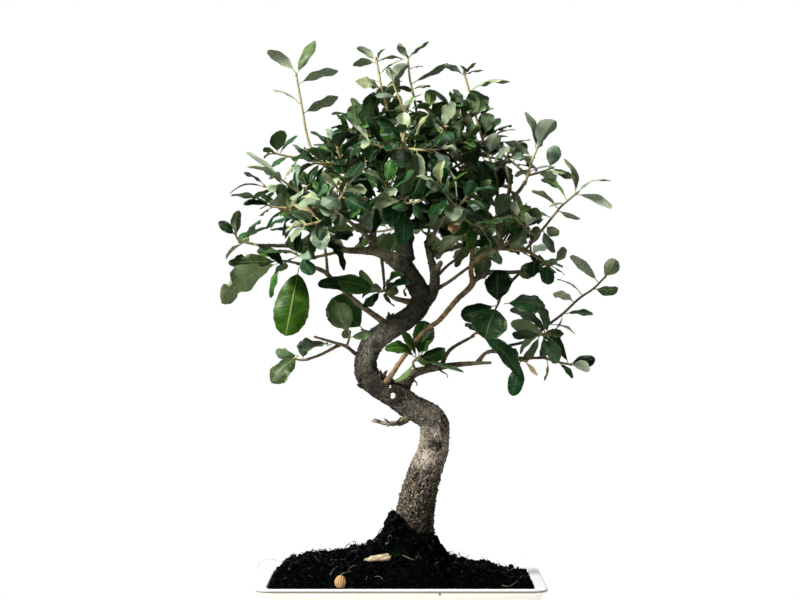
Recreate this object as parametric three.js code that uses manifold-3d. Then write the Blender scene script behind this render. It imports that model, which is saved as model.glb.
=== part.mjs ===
// A cork oak bonsai in a glazed rectangular tray: trunk and branches, leafy shoots, soil, pot and screens.
// Millimetres, +Z up, +X to the right of someone who faces the tree's front. Depth grows away from them.
import * as THREE from "three";
import { mergeVertices } from "three/addons/utils/BufferGeometryUtils.js";
import Module from "manifold-3d";

const wasm = await Module();
wasm.setup();

// Growth is stated as it is seen from the front: x and z lie in the plane of the trunk, and what stands
// further back is that much larger. Height 0 is where the front of the rim is seen.
const EYE_DISTANCE = 2400;
const EYE_HEIGHT = 259;

// Air left between pieces that touch, and between the wood and what grows on it or lies round it.
const GAP = 0.3;
const WOOD_GAP = 0.35;

// Detail smaller than this is closed up.
const FINEST = 0.02;

const POT = {
  length: 256,
  depth: 192,
  rimHeight: 8.9,
  height: 64.5,
  lipReach: 4,
  lipThickness: 3.2,
  wall: 7,
  taper: 7,
  floor: 6,
  footHeight: 7,
  footLength: 36,
  footWidth: 22,
  footInset: 9,
  cornerRadius: 14,
  innerCornerRadius: 8,
  cornerSteps: 4,
  edge: 1,
  baseEdge: 3,
  lipEase: 0.6,
  lipCove: 1.2,
};
const DRAIN = { offset: 62, radius: 9, sides: 16 };
const SCREEN = { side: 32, thickness: 1.2, openings: 3, barWidth: 2.6 };

// Height of the soil above the rim, seen from the front, from the left wall to the right one.
const SOIL_PROFILE = [
  [-118, -2], [-112, 4.5], [-101, 14.5], [-85, 19.5], [-57, 22], [-31, 27.5], [-23, 31.5], [-16, 41.5],
  [-9, 57.5], [0, 57.5], [24, 46.5], [29, 37.5], [36, 27.5], [42, 18.5], [51, 15.5], [66, 11.5], [76, 11.5],
  [92, 5.5], [112, 2], [118, -2],
];
const SOIL = {
  rings: 8,
  sideSteps: [7, 5],
  crowding: 1.5,
  slope: 1.5,
  rimDrop: 2,
  brimDrop: 4,
  edgeDrop: 3.5,
  slack: 0.1,
};

const HUSK = { x: -53, depth: -79.5, z: 13.9, length: 10.4, width: 13, thickness: 5.4, lean: 66, turn: 4 };
const HUSK_FACETS = { around: 10, along: 7 };
const CHIP = { x: -20, depth: -58, length: 20.5, width: 8.5, thickness: 3, lift: 0.9, lean: 34, turn: 6 };

const LEAF = {
  bladeShare: 0.16,
  widestShare: 0.58,
  keel: 0.9,
  arch: 0.05,
};

// Rows of a limb: x, depth, z, radius.
const TRUNK = [
  [13, 0, 10, 21], [13, 0, 34, 19], [12, 0, 52, 17.5], [13, -1, 70, 17], [17, -3, 88, 15.6],
  [22.5, -4, 106, 14.6], [29, -5, 124, 13.3], [30.5, -6, 139, 13], [29, -5, 151, 12.4], [21, -3, 157, 11.8],
  [8, 0, 163.5, 11.5], [-6, 2, 174, 11.7], [-21, 5, 182.5, 11.2], [-30, 7, 191, 10.6], [-32, 8, 203, 10],
  [-28, 8, 216, 10], [-21, 6, 225, 10], [-10, 4, 232.5, 9.7], [3, 2, 240.5, 9.4], [14, 0, 250, 9.2],
  [18, -2, 261, 9], [14, -3, 272, 8.8], [7, -4, 283, 8.4], [2, -4, 293, 7.8], [2, -2, 304, 6.2],
];
const LIMBS = {
  leader: [
    [4, -4, 296, 6.2], [4, 2, 322, 5], [3, 5, 345, 4.2], [5, 5, 368, 3.4], [9, 3, 390, 2.6],
    [11, 2, 408, 1.9],
  ],
  crown_right: [[4, 5, 350, 2.2], [26, 10, 364, 1.9], [48, 14, 378, 1.4]],
  leader_left: [[4, 5, 360, 2.6], [-4, 3, 385, 2.2], [-8, 0, 408, 1.9], [-12, -3, 432, 1.5]],
  leader_right: [[9, 3, 388, 2], [24, 4, 398, 1.8], [40, 4, 410, 1.4]],
  crown_left: [
    [4, -4, 288, 6.4], [-12, -6, 298.5, 5.4], [-25, -8, 303, 4], [-50, -12, 304, 2.8], [-71, -16, 310, 2.4],
    [-91, -20, 308, 2.1], [-128, -26, 308, 1.6],
  ],
  upright_left: [
    [-25, -8, 303, 3.4], [-25, -11, 320, 3], [-23, -12, 333, 2.6], [-29, -12, 347, 2.2],
    [-31, -12, 354, 1.9],
  ],
  upper_left: [
    [-23, -12, 333, 2.2], [-34, -8, 350, 2.1], [-48, -4, 364, 1.9], [-62, -1, 375, 1.8], [-72, 0, 383, 1.6],
  ],
  yellow_left: [[-25, -11, 320, 1.8], [-31, -16, 327, 1.7], [-44, -20, 333, 1.5], [-58, -20, 339, 1.3]],
  branch_a: [
    [-12, 2, 234, 3.8], [-18, 0, 241, 3.4], [-40, -8, 257, 3], [-59, -14, 275, 2.8], [-70, -18, 285, 2.6],
    [-85, -22, 290, 2.3], [-94, -24, 292, 2],
  ],
  link_twig: [[-50, -12, 304, 1.6], [-62, -20, 301, 1.4], [-75, -27, 298, 1.3], [-86, -33, 295, 1.1]],
  riser_twig: [[-66, -17, 281, 1.4], [-67, -22, 295, 1.2], [-68, -27, 304, 1]],
  branch_b: [
    [-16, -2, 181, 4.4], [-9, -9, 191, 3.9], [-1, -13, 203, 3.6], [8, -15, 215, 3.5], [21, -18, 231, 3.5],
    [33, -20, 239.5, 3.6], [40, -21, 247, 3.6], [51, -21, 260, 3.4], [64, -21, 273, 3.6], [63, -20, 284, 3],
    [64, -20, 299, 2.8], [63, -19, 315, 2.4],
  ],
  branch_c: [
    [-1, 3, 172, 5.6], [4, 4, 183, 5], [8, 3, 190, 4.2], [13, 1, 193.5, 3.9], [23, -2, 196.5, 3.5],
    [44, -6, 200, 2.7], [65, -10, 202, 2], [81, -13, 202.5, 1.3],
  ],
  c_far: [
    [69, -10, 203, 1.8], [78, -8, 212, 1.5], [95, -4, 211, 1.4], [106, -2, 207, 1.4], [131, 0, 207, 1.2],
  ],
  c_riser: [[36, -5, 199, 1.9], [41, -1, 210, 1.8], [48, 4, 217, 1.6], [66, 10, 227, 1.2]],
  c_dark: [
    [78, -8, 212, 1.4], [93, -3, 217, 1.3], [110, 1, 221, 1.3], [121, 3, 227, 1.3], [131, 5, 236, 1.3],
  ],
  branch_f: [[64, -20, 294, 2.6], [73, -22, 299, 2.2], [89, -26, 306, 2], [109, -30, 319, 1.5]],
  branch_g: [[89, -26, 306, 1.8], [112, -31, 303, 1.6], [121, -33, 299, 1.2]],
  junction_right: [
    [89, -26, 306, 2.1], [90, -21, 327, 2], [94, -17, 345, 1.9], [106, -13, 357, 1.7],
    [112, -11, 366, 1.5],
  ],
  top_right_riser: [[91, -20, 333, 1.8], [87, -16, 352, 1.7], [86, -14, 370, 1.5]],
  stub_upper_right: [[94, -17, 345, 1.7], [98, -24, 362, 1.6], [95, -28, 379, 1.5]],
  grey_right: [
    [64, -20, 276, 2.4], [73, -13, 281, 2.2], [82, -8, 284, 2.1], [101, 0, 284, 1.8], [122, 5, 286, 1.3],
  ],
  drop_right: [[108, 2, 284.5, 1.3], [95, -8, 271, 1.3], [90, -14, 262, 1.2]],
  right_stem: [
    [15, -2, 254, 6.4], [25, -2, 262, 5.6], [30, -1, 272, 4.6], [30, 0, 284, 4.2], [27, 3, 295, 3.4],
    [23, 8, 312, 2.8],
  ],
  stub_right: [[30, 0, 282, 2.6], [36, -4, 293, 2.3]],
  dark_right_low: [[29, 0, 267, 1.8], [44, 2, 276, 1.5], [59, 3, 287, 1.3], [75, 8, 296, 1.1]],
  dark_right_high: [[31, 0, 279, 1.5], [42, 8, 290, 1.3], [53, 14, 298, 1.1]],
  twig_d: [
    [-31, 5, 206, 2], [-40, 2, 210, 1.8], [-49, 0, 217, 1.6], [-58, -2, 220, 1.4], [-78, -6, 226, 1],
  ],
  twig_d_low: [[-55, -1, 219, 1.4], [-72, -4, 210, 1.3], [-86, -6, 205, 1.1]],
  inner_spur: [[9, -4, 257, 2.4], [-4, -11, 260, 2], [-10, -13, 263, 1.5]],
  dark_drop: [[-18, -7, 301, 1.5], [-16, -13, 284, 1.3], [-15, -15, 272, 1.1]],
  snag: [
    [11, -4, 156, 2.8], [3, -7, 151, 2.4], [-5, -9, 148, 2.3], [-14, -11, 148, 2], [-23, -12, 150, 1.6],
    [-27, -12, 150, 1],
  ],
  back_left: [[4, 2, 326, 2.8], [-14, 30, 338, 2.4], [-34, 58, 350, 1.8], [-46, 78, 356, 1.3]],
  back_right: [[3, 5, 350, 2.6], [24, 32, 360, 2.2], [44, 58, 368, 1.6]],
  back_low: [[3, -1, 306, 2.8], [10, 30, 314, 2.2], [8, 62, 322, 1.6]],
  back_left_low: [[-50, -12, 304, 2], [-62, 14, 312, 1.7], [-78, 40, 320, 1.3]],
  back_right_low: [[26, 4, 300, 2.4], [48, 30, 306, 2], [76, 56, 312, 1.4]],
  front_centre: [[4, 1, 318, 2.4], [-2, -28, 332, 1.9], [-8, -54, 344, 1.4]],
  front_right: [[24, 7, 308, 2.2], [34, -24, 326, 1.8], [44, -52, 338, 1.3]],
  front_left: [[-25, -10, 312, 2], [-42, -38, 326, 1.6], [-54, -62, 336, 1.2]],
  front_top: [[4, 5, 366, 2], [4, -20, 378, 1.6], [2, -42, 388, 1.2]],
  back_top: [[6, 5, 376, 2], [6, 30, 392, 1.5], [2, 48, 402, 1.2]],
};

// A shoot's stem rows are x, depth, z. A leaf row is its share along the stem, the tip's x, how much deeper
// the tip lies than its base, the tip's z, its width, and its turn: 0 shows its upper face to the front, 90
// lies flat with that face up, 180 shows its underside. `fill` adds that many leaves of that length by
// phyllotaxis to the stem and to each of its forks; `forkFill` is for forks that are leafier than the stem.
const SHOOTS = [
  {
    name: "shoot_top_left",
    stem: [[-72, 0, 382], [-80, 0, 394], [-85, 1, 409], [-89, 2, 432], [-94, 4, 460]],
    leaves: [
      [1, -118, -6, 482, 13, 135], [0.98, -79, 4, 490, 12, 40], [0.88, -59, -6, 465, 12, 118],
      [0.67, -113, 8, 446, 11, 93], [0.53, -58, 6, 439, 12, 120],
    ],
    fill: [0, 20],
  },
  {
    name: "shoot_upper_left_side",
    stem: [[-66, -1, 378], [-76, -7, 385], [-100, -9, 388], [-113, -10, 391]],
    leaves: [
      [1, -110, -6, 411, 16, 150], [0.93, -95, 6, 406, 9, 105], [1, -123, 3, 388, 6, 120],
      [0.5, -96, 5, 399, 7, 70], [0.75, -116, -8, 380, 9, 65],
    ],
    fill: [2, 18],
  },
  {
    name: "shoot_top_mid_left",
    stem: [[-12, -3, 430], [-16, -4, 444], [-18, -5, 452], [-20, -5, 464], [-22, -5, 475]],
    leaves: [
      [1, -36, 5, 487, 9, 120], [0.95, -42, -6, 472, 9, 125], [1, 0, 4, 479, 10, 112],
      [0.72, 2, -6, 474, 10, 110], [0.42, -37, -8, 456, 13, 25], [0.3, -2, 10, 458, 10, 80],
    ],
    fill: [2, 20],
  },
  {
    name: "shoot_top_mid",
    stem: [[9, 3, 388], [8, -6, 403], [10, -8, 416], [3, -10, 430], [-3, -11, 444], [-7, -12, 454]],
    leaves: [
      [1, 5, -6, 471, 12, 150], [0.95, 8, 6, 450, 8, 80], [0.62, -20, -8, 427, 11, 60],
      [0.5, 28, -6, 424, 12, 70], [0.3, -14, -12, 410, 13, 40],
    ],
    fill: [4, 24],
  },
  {
    name: "shoot_top_mid_right",
    stem: [[11, 2, 406], [14, 3, 424], [12, 3, 440], [8, 3, 458], [6, 3, 477]],
    leaves: [
      [1, -1, -4, 489, 9, 130], [1, 23, 5, 492, 10, 120], [0.86, 19, 3, 469, 5, 100],
      [0.66, 41, 5, 469, 12, 115], [0.6, 25, -8, 451, 8, 95], [0.55, -2, -4, 450, 8, 50],
      [0.4, 25, -10, 434, 8, 95], [0.3, -10, 12, 432, 11, 75],
    ],
    fill: [1, 20],
  },
  {
    name: "shoot_top_right",
    stem: [[86, -14, 368], [80, -12, 386], [71, -10, 411], [64, -8, 438], [57, -7, 463]],
    forks: [[[84, -13, 374], [93, -4, 384], [100, 4, 397]], [[77, -12, 396], [68, -2, 402], [60, 8, 410]]],
    leaves: [
      [0.56, 68, -6, 447, 19, 155], [0.67, 47, 4, 441, 9, 60], [0.55, 81, 8, 433, 8, 95],
      [0.83, 94, 5, 460, 12, 115], [0.98, 40, -4, 469, 11, 125], [1, 65, 3, 473, 8, 110],
      [1, 73, 8, 467, 7, 95], [0.33, 100, -5, 414, 11, 100], [0.22, 86, -10, 407, 12, 30],
      [0.12, 98, -8, 394, 10, 60], [0.1, 97, 6, 385, 9, 85], [0.45, 40, -4, 430, 15, 25],
    ],
    fill: [1, 20],
    forkFill: [6, 26],
  },
  {
    name: "shoot_right_upper",
    stem: [[112, -11, 364], [116, -10, 378], [119, -9, 387], [123, -8, 396]],
    forks: [
      [[114, -10, 371], [104, 0, 380], [94, 8, 388]],
      [[114, -10, 371], [126, -4, 374], [136, 4, 378]],
    ],
    leaves: [
      [1, 137, -4, 419, 18, 150], [0.9, 115, 4, 427, 10, 60], [0.7, 93, -4, 402, 11, 98],
      [0.3, 135, 6, 381, 8, 85], [0.5, 104, -14, 388, 12, 50],
    ],
    fill: [1, 20],
    forkFill: [5, 25],
  },
  {
    name: "shoot_right_tall",
    stem: [
      [111, -31, 303], [122, -31, 316], [131, -30, 327], [139, -29, 337], [145, -28, 344], [158, -26, 355],
    ],
    forks: [[[122, -31, 316], [112, -36, 324], [104, -40, 334]]],
    leaves: [
      [1, 189, -6, 347, 12, 130], [0.98, 153, 4, 385, 14, 40], [1, 185, 8, 369, 9, 95],
      [0.85, 129, 6, 367, 11, 110], [0.8, 135, -10, 342, 8, 60], [0.66, 160, 8, 333, 9, 92],
      [0.55, 114, -8, 338, 11, 60], [0.42, 140, -6, 317, 12, 30], [0.36, 135, -8, 302, 13, 25],
      [0.7, 118, -6, 353, 11, 60],
    ],
    fill: [0, 20],
    forkFill: [5, 25],
  },
  {
    name: "shoot_right_arm",
    stem: [[130, 5, 235], [145, 5, 246], [160, 4, 260], [173, 3, 269], [183, 2, 279]],
    leaves: [
      [0.9, 155, -4, 298, 10, 150], [1, 192, -4, 294, 14, 155], [0.78, 194, 4, 268, 12, 125],
      [0.64, 142, 6, 276, 10, 120], [0.5, 139, -8, 265, 11, 140], [0.28, 171, -4, 245, 8, 75],
      [0.06, 155, 6, 230, 9, 105],
    ],
    fill: [0, 20],
  },
  {
    name: "shoot_right_dark_cluster",
    stem: [[120, 3, 226.5], [126, -6, 228], [133, -10, 228]],
    leaves: [
      [0.95, 105, -4, 253, 14, 30], [0.75, 102, -12, 225, 13, 50], [1, 139, -6, 204, 12, 35],
      [0.9, 132, 8, 247, 8, 70], [0.5, 112, 4, 205, 11, 60], [0.85, 102, 8, 238, 12, 30],
      [0.7, 128, 6, 207, 10, 30], [1, 128, -10, 250, 12, 35], [0.6, 106, -6, 214, 8, 60],
      [0.8, 120, 6, 252, 11, 40], [0.65, 112, -2, 247, 11, 120], [1, 147, 4, 241, 7, 60],
    ],
    fill: [5, 21],
  },
  {
    name: "shoot_right_low_tip",
    stem: [[128, 0, 207], [142, 1, 203], [152, 2, 201]],
    leaves: [
      [1, 142, -6, 225, 10, 30], [1, 173, 6, 206, 12, 20], [0.95, 169, -6, 197, 10, 145],
      [0.55, 154, -4, 190, 6, 60], [0.6, 152, 6, 217, 11, 30], [0.15, 130, -6, 187, 5, 60],
    ],
    fill: [1, 14],
  },
  {
    name: "shoot_right_hanging",
    stem: [[104, -2, 208], [107, -8, 205], [112, -12, 204]],
    leaves: [
      [0.6, 101, -6, 175, 14, 15], [0.9, 122, -4, 192, 5, 150],
      [0.4, 101, -8, 214, 8, 20],
    ],
    fill: [0, 20],
  },
  {
    name: "shoot_centre_right_round",
    stem: [[90, -13, 263.5], [88, -17, 257], [86, -19, 253]],
    leaves: [
      [1, 77, -8, 227, 31, 12], [0.9, 87, 6, 284, 24, 20], [0.8, 127, -6, 253, 22, 45],
      [0.95, 56, 2, 246, 18, 20],
    ],
    fill: [0, 20],
  },
  {
    name: "shoot_long_hanging",
    stem: [[64, 10, 226.5], [67, 2, 229], [70, -5, 229]],
    leaves: [[1, 104, -6, 194, 16, 35], [0.8, 60, 8, 239, 8, 60]],
    fill: [1, 16],
  },
  {
    name: "shoot_inner_low",
    stem: [[13, 1, 196], [11, -10, 203], [17, -17, 208]],
    leaves: [
      [0.9, 21, 12, 237, 18, 10], [1, 54, -6, 196, 14, 60], [0.95, 28, -8, 221, 14, 20],
      [0.7, -3, -8, 184, 6, 30], [0.85, -10, -4, 216, 13, 50], [0.6, 33, 6, 207, 14, 70],
      [0.8, 6, -8, 228, 13, 40], [0.75, 38, -6, 214, 13, 130],
    ],
    fill: [0, 20],
  },
  {
    name: "shoot_low_left",
    stem: [[-84, -6, 205.5], [-90, -7, 205], [-95, -8, 206]],
    leaves: [
      [1, -115, -5, 187, 16, 40], [0.9, -111, 6, 212, 12, 155], [0.3, -64, -8, 220, 18, 40],
      [0.35, -88, -4, 221, 12, 35],
    ],
    fill: [0, 20],
  },
  {
    name: "shoot_low_left_upright",
    stem: [[-49, 0, 217], [-47, -6, 223], [-46, -8, 229]],
    leaves: [
      [1, -57, -6, 254, 21, 158], [0.6, -51, 4, 231, 9, 20], [0.7, -29, -8, 229, 9, 60],
    ],
    fill: [0, 20],
  },
  {
    name: "shoot_trunk_spur",
    stem: [[-25, 4, 229], [-31, -4, 231], [-34, -6, 232]],
    leaves: [[1, -60, 4, 259, 31, 15]],
    fill: [0, 20],
  },
  {
    name: "shoot_left_branch_end",
    stem: [[-93, -24, 292], [-103, -27, 294], [-109, -29, 294]],
    leaves: [
      [1, -158, -6, 260, 29, 150], [0.28, -101, -8, 231, 31, 6], [0.85, -119, 6, 264, 10, 20],
      [0.95, -152, 5, 293, 16, 165], [0.8, -126, 8, 306, 16, 25], [0.6, -108, 6, 285, 10, 150],
    ],
    fill: [0, 20],
  },
  {
    name: "shoot_centre_left_hanging",
    stem: [[-15, -14, 274], [-16, -17, 267], [-22, -19, 267]],
    leaves: [
      [0.95, -54, -6, 276, 18, 20], [0.9, -71, 6, 271, 14, 35], [0.5, -34, -8, 256, 13, 40],
      [0.4, 0, -6, 282, 14, 20], [0.6, -3, 6, 266, 12, 40], [0.9, -36, 4, 284, 8, 60],
    ],
    fill: [1, 22],
  },
  {
    name: "shoot_inner_spur",
    stem: [[-9, -13, 262.5], [-13, -16, 265], [-15, -18, 268.5]],
    leaves: [[1, -8, -14, 254, 12, 40], [0.6, 6, -10, 272, 13, 30]],
    fill: [1, 20],
  },
  {
    name: "shoot_link_end",
    stem: [[-84, -33, 295.5], [-90, -36, 298], [-98, -38, 302]],
    leaves: [[1, -122, -6, 300, 12, 60], [0.7, -92, -6, 320, 12, 50], [0.5, -80, -12, 282, 12, 40]],
    fill: [6, 24],
  },
  {
    name: "shoot_riser_end",
    stem: [[-68, -26, 302], [-69, -29, 312], [-72, -31, 322]],
    leaves: [
      [1, -60, -8, 334, 13, 60], [0.6, -54, -8, 306, 12, 50], [1, -88, -4, 329, 12, 40],
      [0.4, -50, -12, 291, 10, 30],
    ],
    fill: [4, 24],
  },
  {
    name: "shoot_crown_far_left",
    stem: [[-126, -26, 308], [-140, -28, 311], [-147, -29, 314], [-149, -30, 318]],
    leaves: [
      [1, -163, -4, 328, 9, 110], [0.9, -148, 6, 337, 10, 40], [0.7, -120, 5, 322, 12, 60],
      [0.5, -128, -8, 330, 13, 45], [0.3, -108, -8, 297, 12, 60],
    ],
    fill: [4, 24],
  },
  {
    name: "shoot_left_upper_long",
    stem: [[-57, -20, 338.5], [-70, -23, 341], [-90, -27, 342], [-105, -30, 342], [-116, -32, 343]],
    leaves: [
      [1, -150, -4, 354, 13, 62], [0.95, -140, 6, 345, 9, 82], [0.9, -125, 5, 353, 8, 70],
      [0.85, -109, -4, 362, 12, 45], [0.55, -99, -10, 342, 10, 150], [0.6, -73, -6, 327, 10, 60],
      [0.3, -80, -8, 329, 15, 135], [0.75, -122, -8, 327, 13, 50],
    ],
    fill: [7, 26],
  },
  {
    name: "shoot_left_upper_pale",
    stem: [[-44, -20, 333], [-60, -26, 339], [-78, -30, 347], [-92, -32, 356], [-107, -34, 367]],
    leaves: [
      [1, -137, -6, 375, 12, 140], [0.98, -94, 4, 379, 8, 60], [0.92, -139, 8, 387, 11, 98],
      [0.72, -61, -4, 366, 12, 140], [0.6, -98, -8, 346, 13, 60], [0.5, -72, -10, 365, 12, 50],
    ],
    fill: [7, 26],
  },
  {
    name: "shoot_left_upper_back",
    stem: [[-48, -4, 364], [-68, 6, 362], [-90, 8, 360], [-112, 8, 360], [-122, 8, 361]],
    leaves: [
      [1, -141, -4, 372, 8, 95], [0.98, -152, 4, 361, 9, 92], [0.75, -121, 5, 375, 10, 95],
      [0.5, -98, 6, 378, 13, 60], [0.85, -132, -8, 347, 12, 60],
    ],
    fill: [5, 26],
  },
  {
    name: "shoot_centre_right_bud",
    stem: [[63, -19, 308], [60, -24, 318], [62, -26, 329], [66, -27, 337]],
    leaves: [
      [0.4, 35, -6, 305, 14, 20], [0.6, 79, -8, 316, 10, 40], [0.8, 89, -6, 318, 12, 130],
      [0.9, 43, -4, 344, 11, 110], [1, 61, -4, 352, 9, 60], [1, 75, 5, 347, 9, 70],
    ],
    fill: [6, 25],
  },
  {
    name: "shoot_branch_f_end",
    stem: [[108, -30, 318.5], [113, -33, 324], [115, -34, 328]],
    forks: [[[110, -31, 320], [104, -24, 330], [102, -16, 342]]],
    leaves: [
      [0.8, 105, -6, 342, 16, 150], [1, 122, -6, 342, 14, 40], [0.6, 96, -8, 322, 13, 50],
    ],
    fill: [2, 22],
    forkFill: [5, 25],
  },
  {
    name: "shoot_branch_g_end",
    stem: [[119, -32, 299.5], [127, -35, 294], [131, -36, 291]],
    leaves: [
      [1, 145, -4, 290, 8, 95], [1, 133, -8, 275, 14, 30], [0.3, 119, -10, 281, 14, 35],
      [0.8, 116, 6, 283, 12, 140],
    ],
    fill: [1, 20],
  },
  {
    name: "shoot_grey_right_end",
    stem: [[120, 5, 286], [130, 7, 288], [138, 8, 292]],
    forks: [[[122, 6, 287], [118, 14, 298], [116, 20, 310]]],
    leaves: [[1, 144, 4, 290, 8, 60], [0.7, 118, 8, 300, 13, 50]],
    fill: [4, 22],
    forkFill: [6, 27],
  },
  {
    name: "shoot_dark_right",
    stem: [[73, 7.5, 295], [82, 11, 302], [92, 15, 312], [100, 18, 324]],
    forks: [[[82, 11, 302], [80, 2, 312], [76, -6, 324]]],
    leaves: [],
    fill: [9, 29],
  },
  {
    name: "shoot_dark_right_inner",
    stem: [[51, 13.5, 297], [60, 20, 308], [64, 24, 322], [62, 26, 338]],
    forks: [[[57, 18, 304], [46, 26, 316], [40, 34, 328]]],
    leaves: [],
    fill: [9, 29],
  },
  {
    name: "shoot_right_stem_top",
    stem: [[23, 7, 309], [26, 12, 324], [34, 15, 336], [44, 16, 346], [56, 16, 354]],
    forks: [[[30, 13, 330], [20, 20, 344], [14, 28, 356]], [[40, 15.5, 342], [36, 8, 354], [30, 0, 364]]],
    leaves: [[0.8, 30, -10, 362, 14, 20], [0.4, 2, -12, 322, 14, 30]],
    fill: [10, 30],
  },
  {
    name: "shoot_junction_left",
    stem: [[90, -21, 325], [80, -26, 336], [72, -30, 348], [66, -33, 362]],
    forks: [[[80, -26, 336], [66, -32, 336], [52, -38, 338]]],
    leaves: [[1, 60, -6, 378, 11, 150], [0.7, 42, -4, 362, 13, 40]],
    fill: [10, 28],
  },
  {
    name: "shoot_crown_right",
    stem: [[46, 13.5, 377], [60, 10, 386], [70, 4, 396], [76, -4, 408]],
    forks: [
      [[50, 13, 380], [54, 0, 378], [58, -12, 378]],
      [[60, 10, 386], [54, 2, 398], [48, -6, 410]],
      [[65, 7, 391], [76, 14, 388], [88, 20, 386]],
    ],
    leaves: [[1, 80, -12, 426, 14, 40], [0.5, 84, -10, 400, 14, 60]],
    fill: [9, 29],
  },
  {
    name: "shoot_leader_right_end",
    stem: [[38, 4, 409], [44, 4, 420], [52, 3, 432]],
    forks: [[[40, 4, 413], [30, -4, 420], [24, -10, 430]], [[41, 4, 415], [54, 0, 418], [64, -4, 424]]],
    leaves: [[1, 46, -8, 446, 12, 30]],
    fill: [8, 27],
  },
  {
    name: "shoot_leader_right_low",
    stem: [[22, 4, 397], [34, -6, 394], [46, -14, 396], [60, -20, 402]],
    forks: [
      [[34, -6, 394], [36, -18, 404], [38, -28, 414]],
      [[46, -14, 396], [56, -16, 384], [66, -18, 376]],
    ],
    leaves: [],
    fill: [9, 29],
  },
  {
    name: "shoot_leader_left_low",
    stem: [[-6, 2, 396], [-20, -6, 402], [-34, -12, 406], [-46, -16, 412]],
    forks: [
      [[-17, -4.3, 400.7], [-22, -18, 410], [-20, -28, 420]],
      [[-26, -9, 404], [-34, -2, 414], [-40, 4, 424]],
    ],
    leaves: [[1, -58, -4, 424, 12, 60]],
    fill: [9, 29],
  },
  {
    name: "shoot_leader_left_high",
    stem: [[-8, 0, 409], [-18, 8, 420], [-32, 12, 428]],
    forks: [[[-14, 5, 416], [-12, 14, 428], [-10, 20, 440]]],
    leaves: [],
    fill: [7, 26],
  },
  {
    name: "shoot_upright_left_top",
    stem: [[-26, -12, 340], [-16, -20, 352], [-8, -26, 366], [-4, -30, 382]],
    forks: [
      [[-16, -20, 352], [-4, -26, 350], [10, -30, 352]],
      [[-10, -25, 363], [-22, -34, 370], [-32, -42, 376]],
    ],
    leaves: [],
    fill: [9, 30],
  },
  {
    name: "shoot_upper_left_front",
    stem: [[-48, -4, 363], [-50, -16, 374], [-54, -24, 386], [-58, -28, 398]],
    forks: [
      [[-50, -16, 374], [-40, -26, 378], [-28, -34, 386]],
      [[-53, -22, 383], [-66, -30, 382], [-78, -36, 382]],
    ],
    leaves: [],
    fill: [9, 29],
  },
  {
    name: "shoot_upper_left_back",
    stem: [[-60, -1, 374], [-58, 12, 386], [-60, 24, 400]],
    forks: [[[-58, 12, 386], [-46, 20, 392], [-36, 26, 402]]],
    leaves: [],
    fill: [9, 28],
  },
  {
    name: "shoot_front_centre",
    stem: [[-7, -52, 343], [-10, -66, 352], [-14, -80, 364]],
    forks: [
      [[-9, -60, 348], [4, -72, 346], [16, -82, 348]],
      [[-10, -66, 352], [-24, -74, 346], [-36, -82, 342]],
    ],
    leaves: [],
    fill: [9, 30],
  },
  {
    name: "shoot_front_right",
    stem: [[43, -50, 337], [50, -66, 342], [58, -82, 350]],
    forks: [
      [[47, -58, 340], [60, -64, 330], [74, -70, 324]],
      [[50, -66, 342], [42, -78, 352], [34, -88, 364]],
    ],
    leaves: [],
    fill: [8, 30],
  },
  {
    name: "shoot_front_left",
    stem: [[-53, -60, 335.5], [-62, -74, 342], [-72, -88, 350]],
    forks: [
      [[-57, -66, 338], [-72, -68, 330], [-88, -70, 326]],
      [[-62, -74, 342], [-54, -86, 352], [-48, -94, 364]],
    ],
    leaves: [],
    fill: [9, 30],
  },
  {
    name: "shoot_front_top",
    stem: [[2, -40, 387], [2, -54, 398], [4, -64, 412]],
    forks: [
      [[2, -50, 395], [-14, -58, 396], [-28, -64, 400]],
      [[2, -51, 395.6], [18, -62, 394], [32, -68, 394]],
    ],
    leaves: [],
    fill: [9, 28],
  },
  {
    name: "shoot_back_top",
    stem: [[2, 46, 401], [0, 60, 412], [-4, 70, 424]],
    forks: [[[1, 54, 407], [16, 62, 410], [30, 68, 414]], [[0, 60, 412], [-16, 66, 408], [-30, 70, 406]]],
    leaves: [],
    fill: [9, 28],
  },
  {
    name: "shoot_back_left",
    stem: [[-45, 76, 355.5], [-54, 90, 364], [-64, 102, 374]],
    forks: [
      [[-50, 83, 360], [-66, 86, 354], [-80, 88, 350]],
      [[-54, 90, 364], [-46, 98, 376], [-40, 102, 388]],
    ],
    leaves: [],
    fill: [9, 30],
  },
  {
    name: "shoot_back_right",
    stem: [[42, 56, 367], [54, 74, 376], [64, 90, 388]],
    forks: [[[48, 65, 372], [64, 68, 366], [80, 70, 362]], [[54, 74, 376], [46, 84, 388], [40, 90, 400]]],
    leaves: [],
    fill: [9, 30],
  },
  {
    name: "shoot_back_low",
    stem: [[8, 60, 321.5], [6, 78, 328], [2, 96, 338]],
    forks: [[[7, 69, 325], [24, 80, 324], [40, 88, 326]], [[6, 78, 328], [-12, 86, 322], [-28, 92, 320]]],
    leaves: [],
    fill: [9, 30],
  },
  {
    name: "shoot_back_left_low",
    stem: [[-77, 38, 319.5], [-88, 52, 326], [-100, 64, 336]],
    forks: [[[-82, 45, 323], [-74, 60, 320], [-66, 74, 320]]],
    leaves: [],
    fill: [10, 30],
  },
  {
    name: "shoot_back_right_low",
    stem: [[74, 54, 311.5], [88, 68, 318], [102, 80, 328]],
    forks: [[[81, 61, 315], [70, 74, 312], [60, 86, 310]]],
    leaves: [],
    fill: [10, 30],
  },
];
const STEM = { baseRadius: 1.25, tipRadius: 0.75, endInset: 1.5, sides: 4 };

// Corners of a limb that is at least that thick.
const LIMB_SIDES = [{ radius: 8, sides: 12 }, { radius: 3, sides: 7 }, { radius: 0, sides: 5 }];

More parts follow.
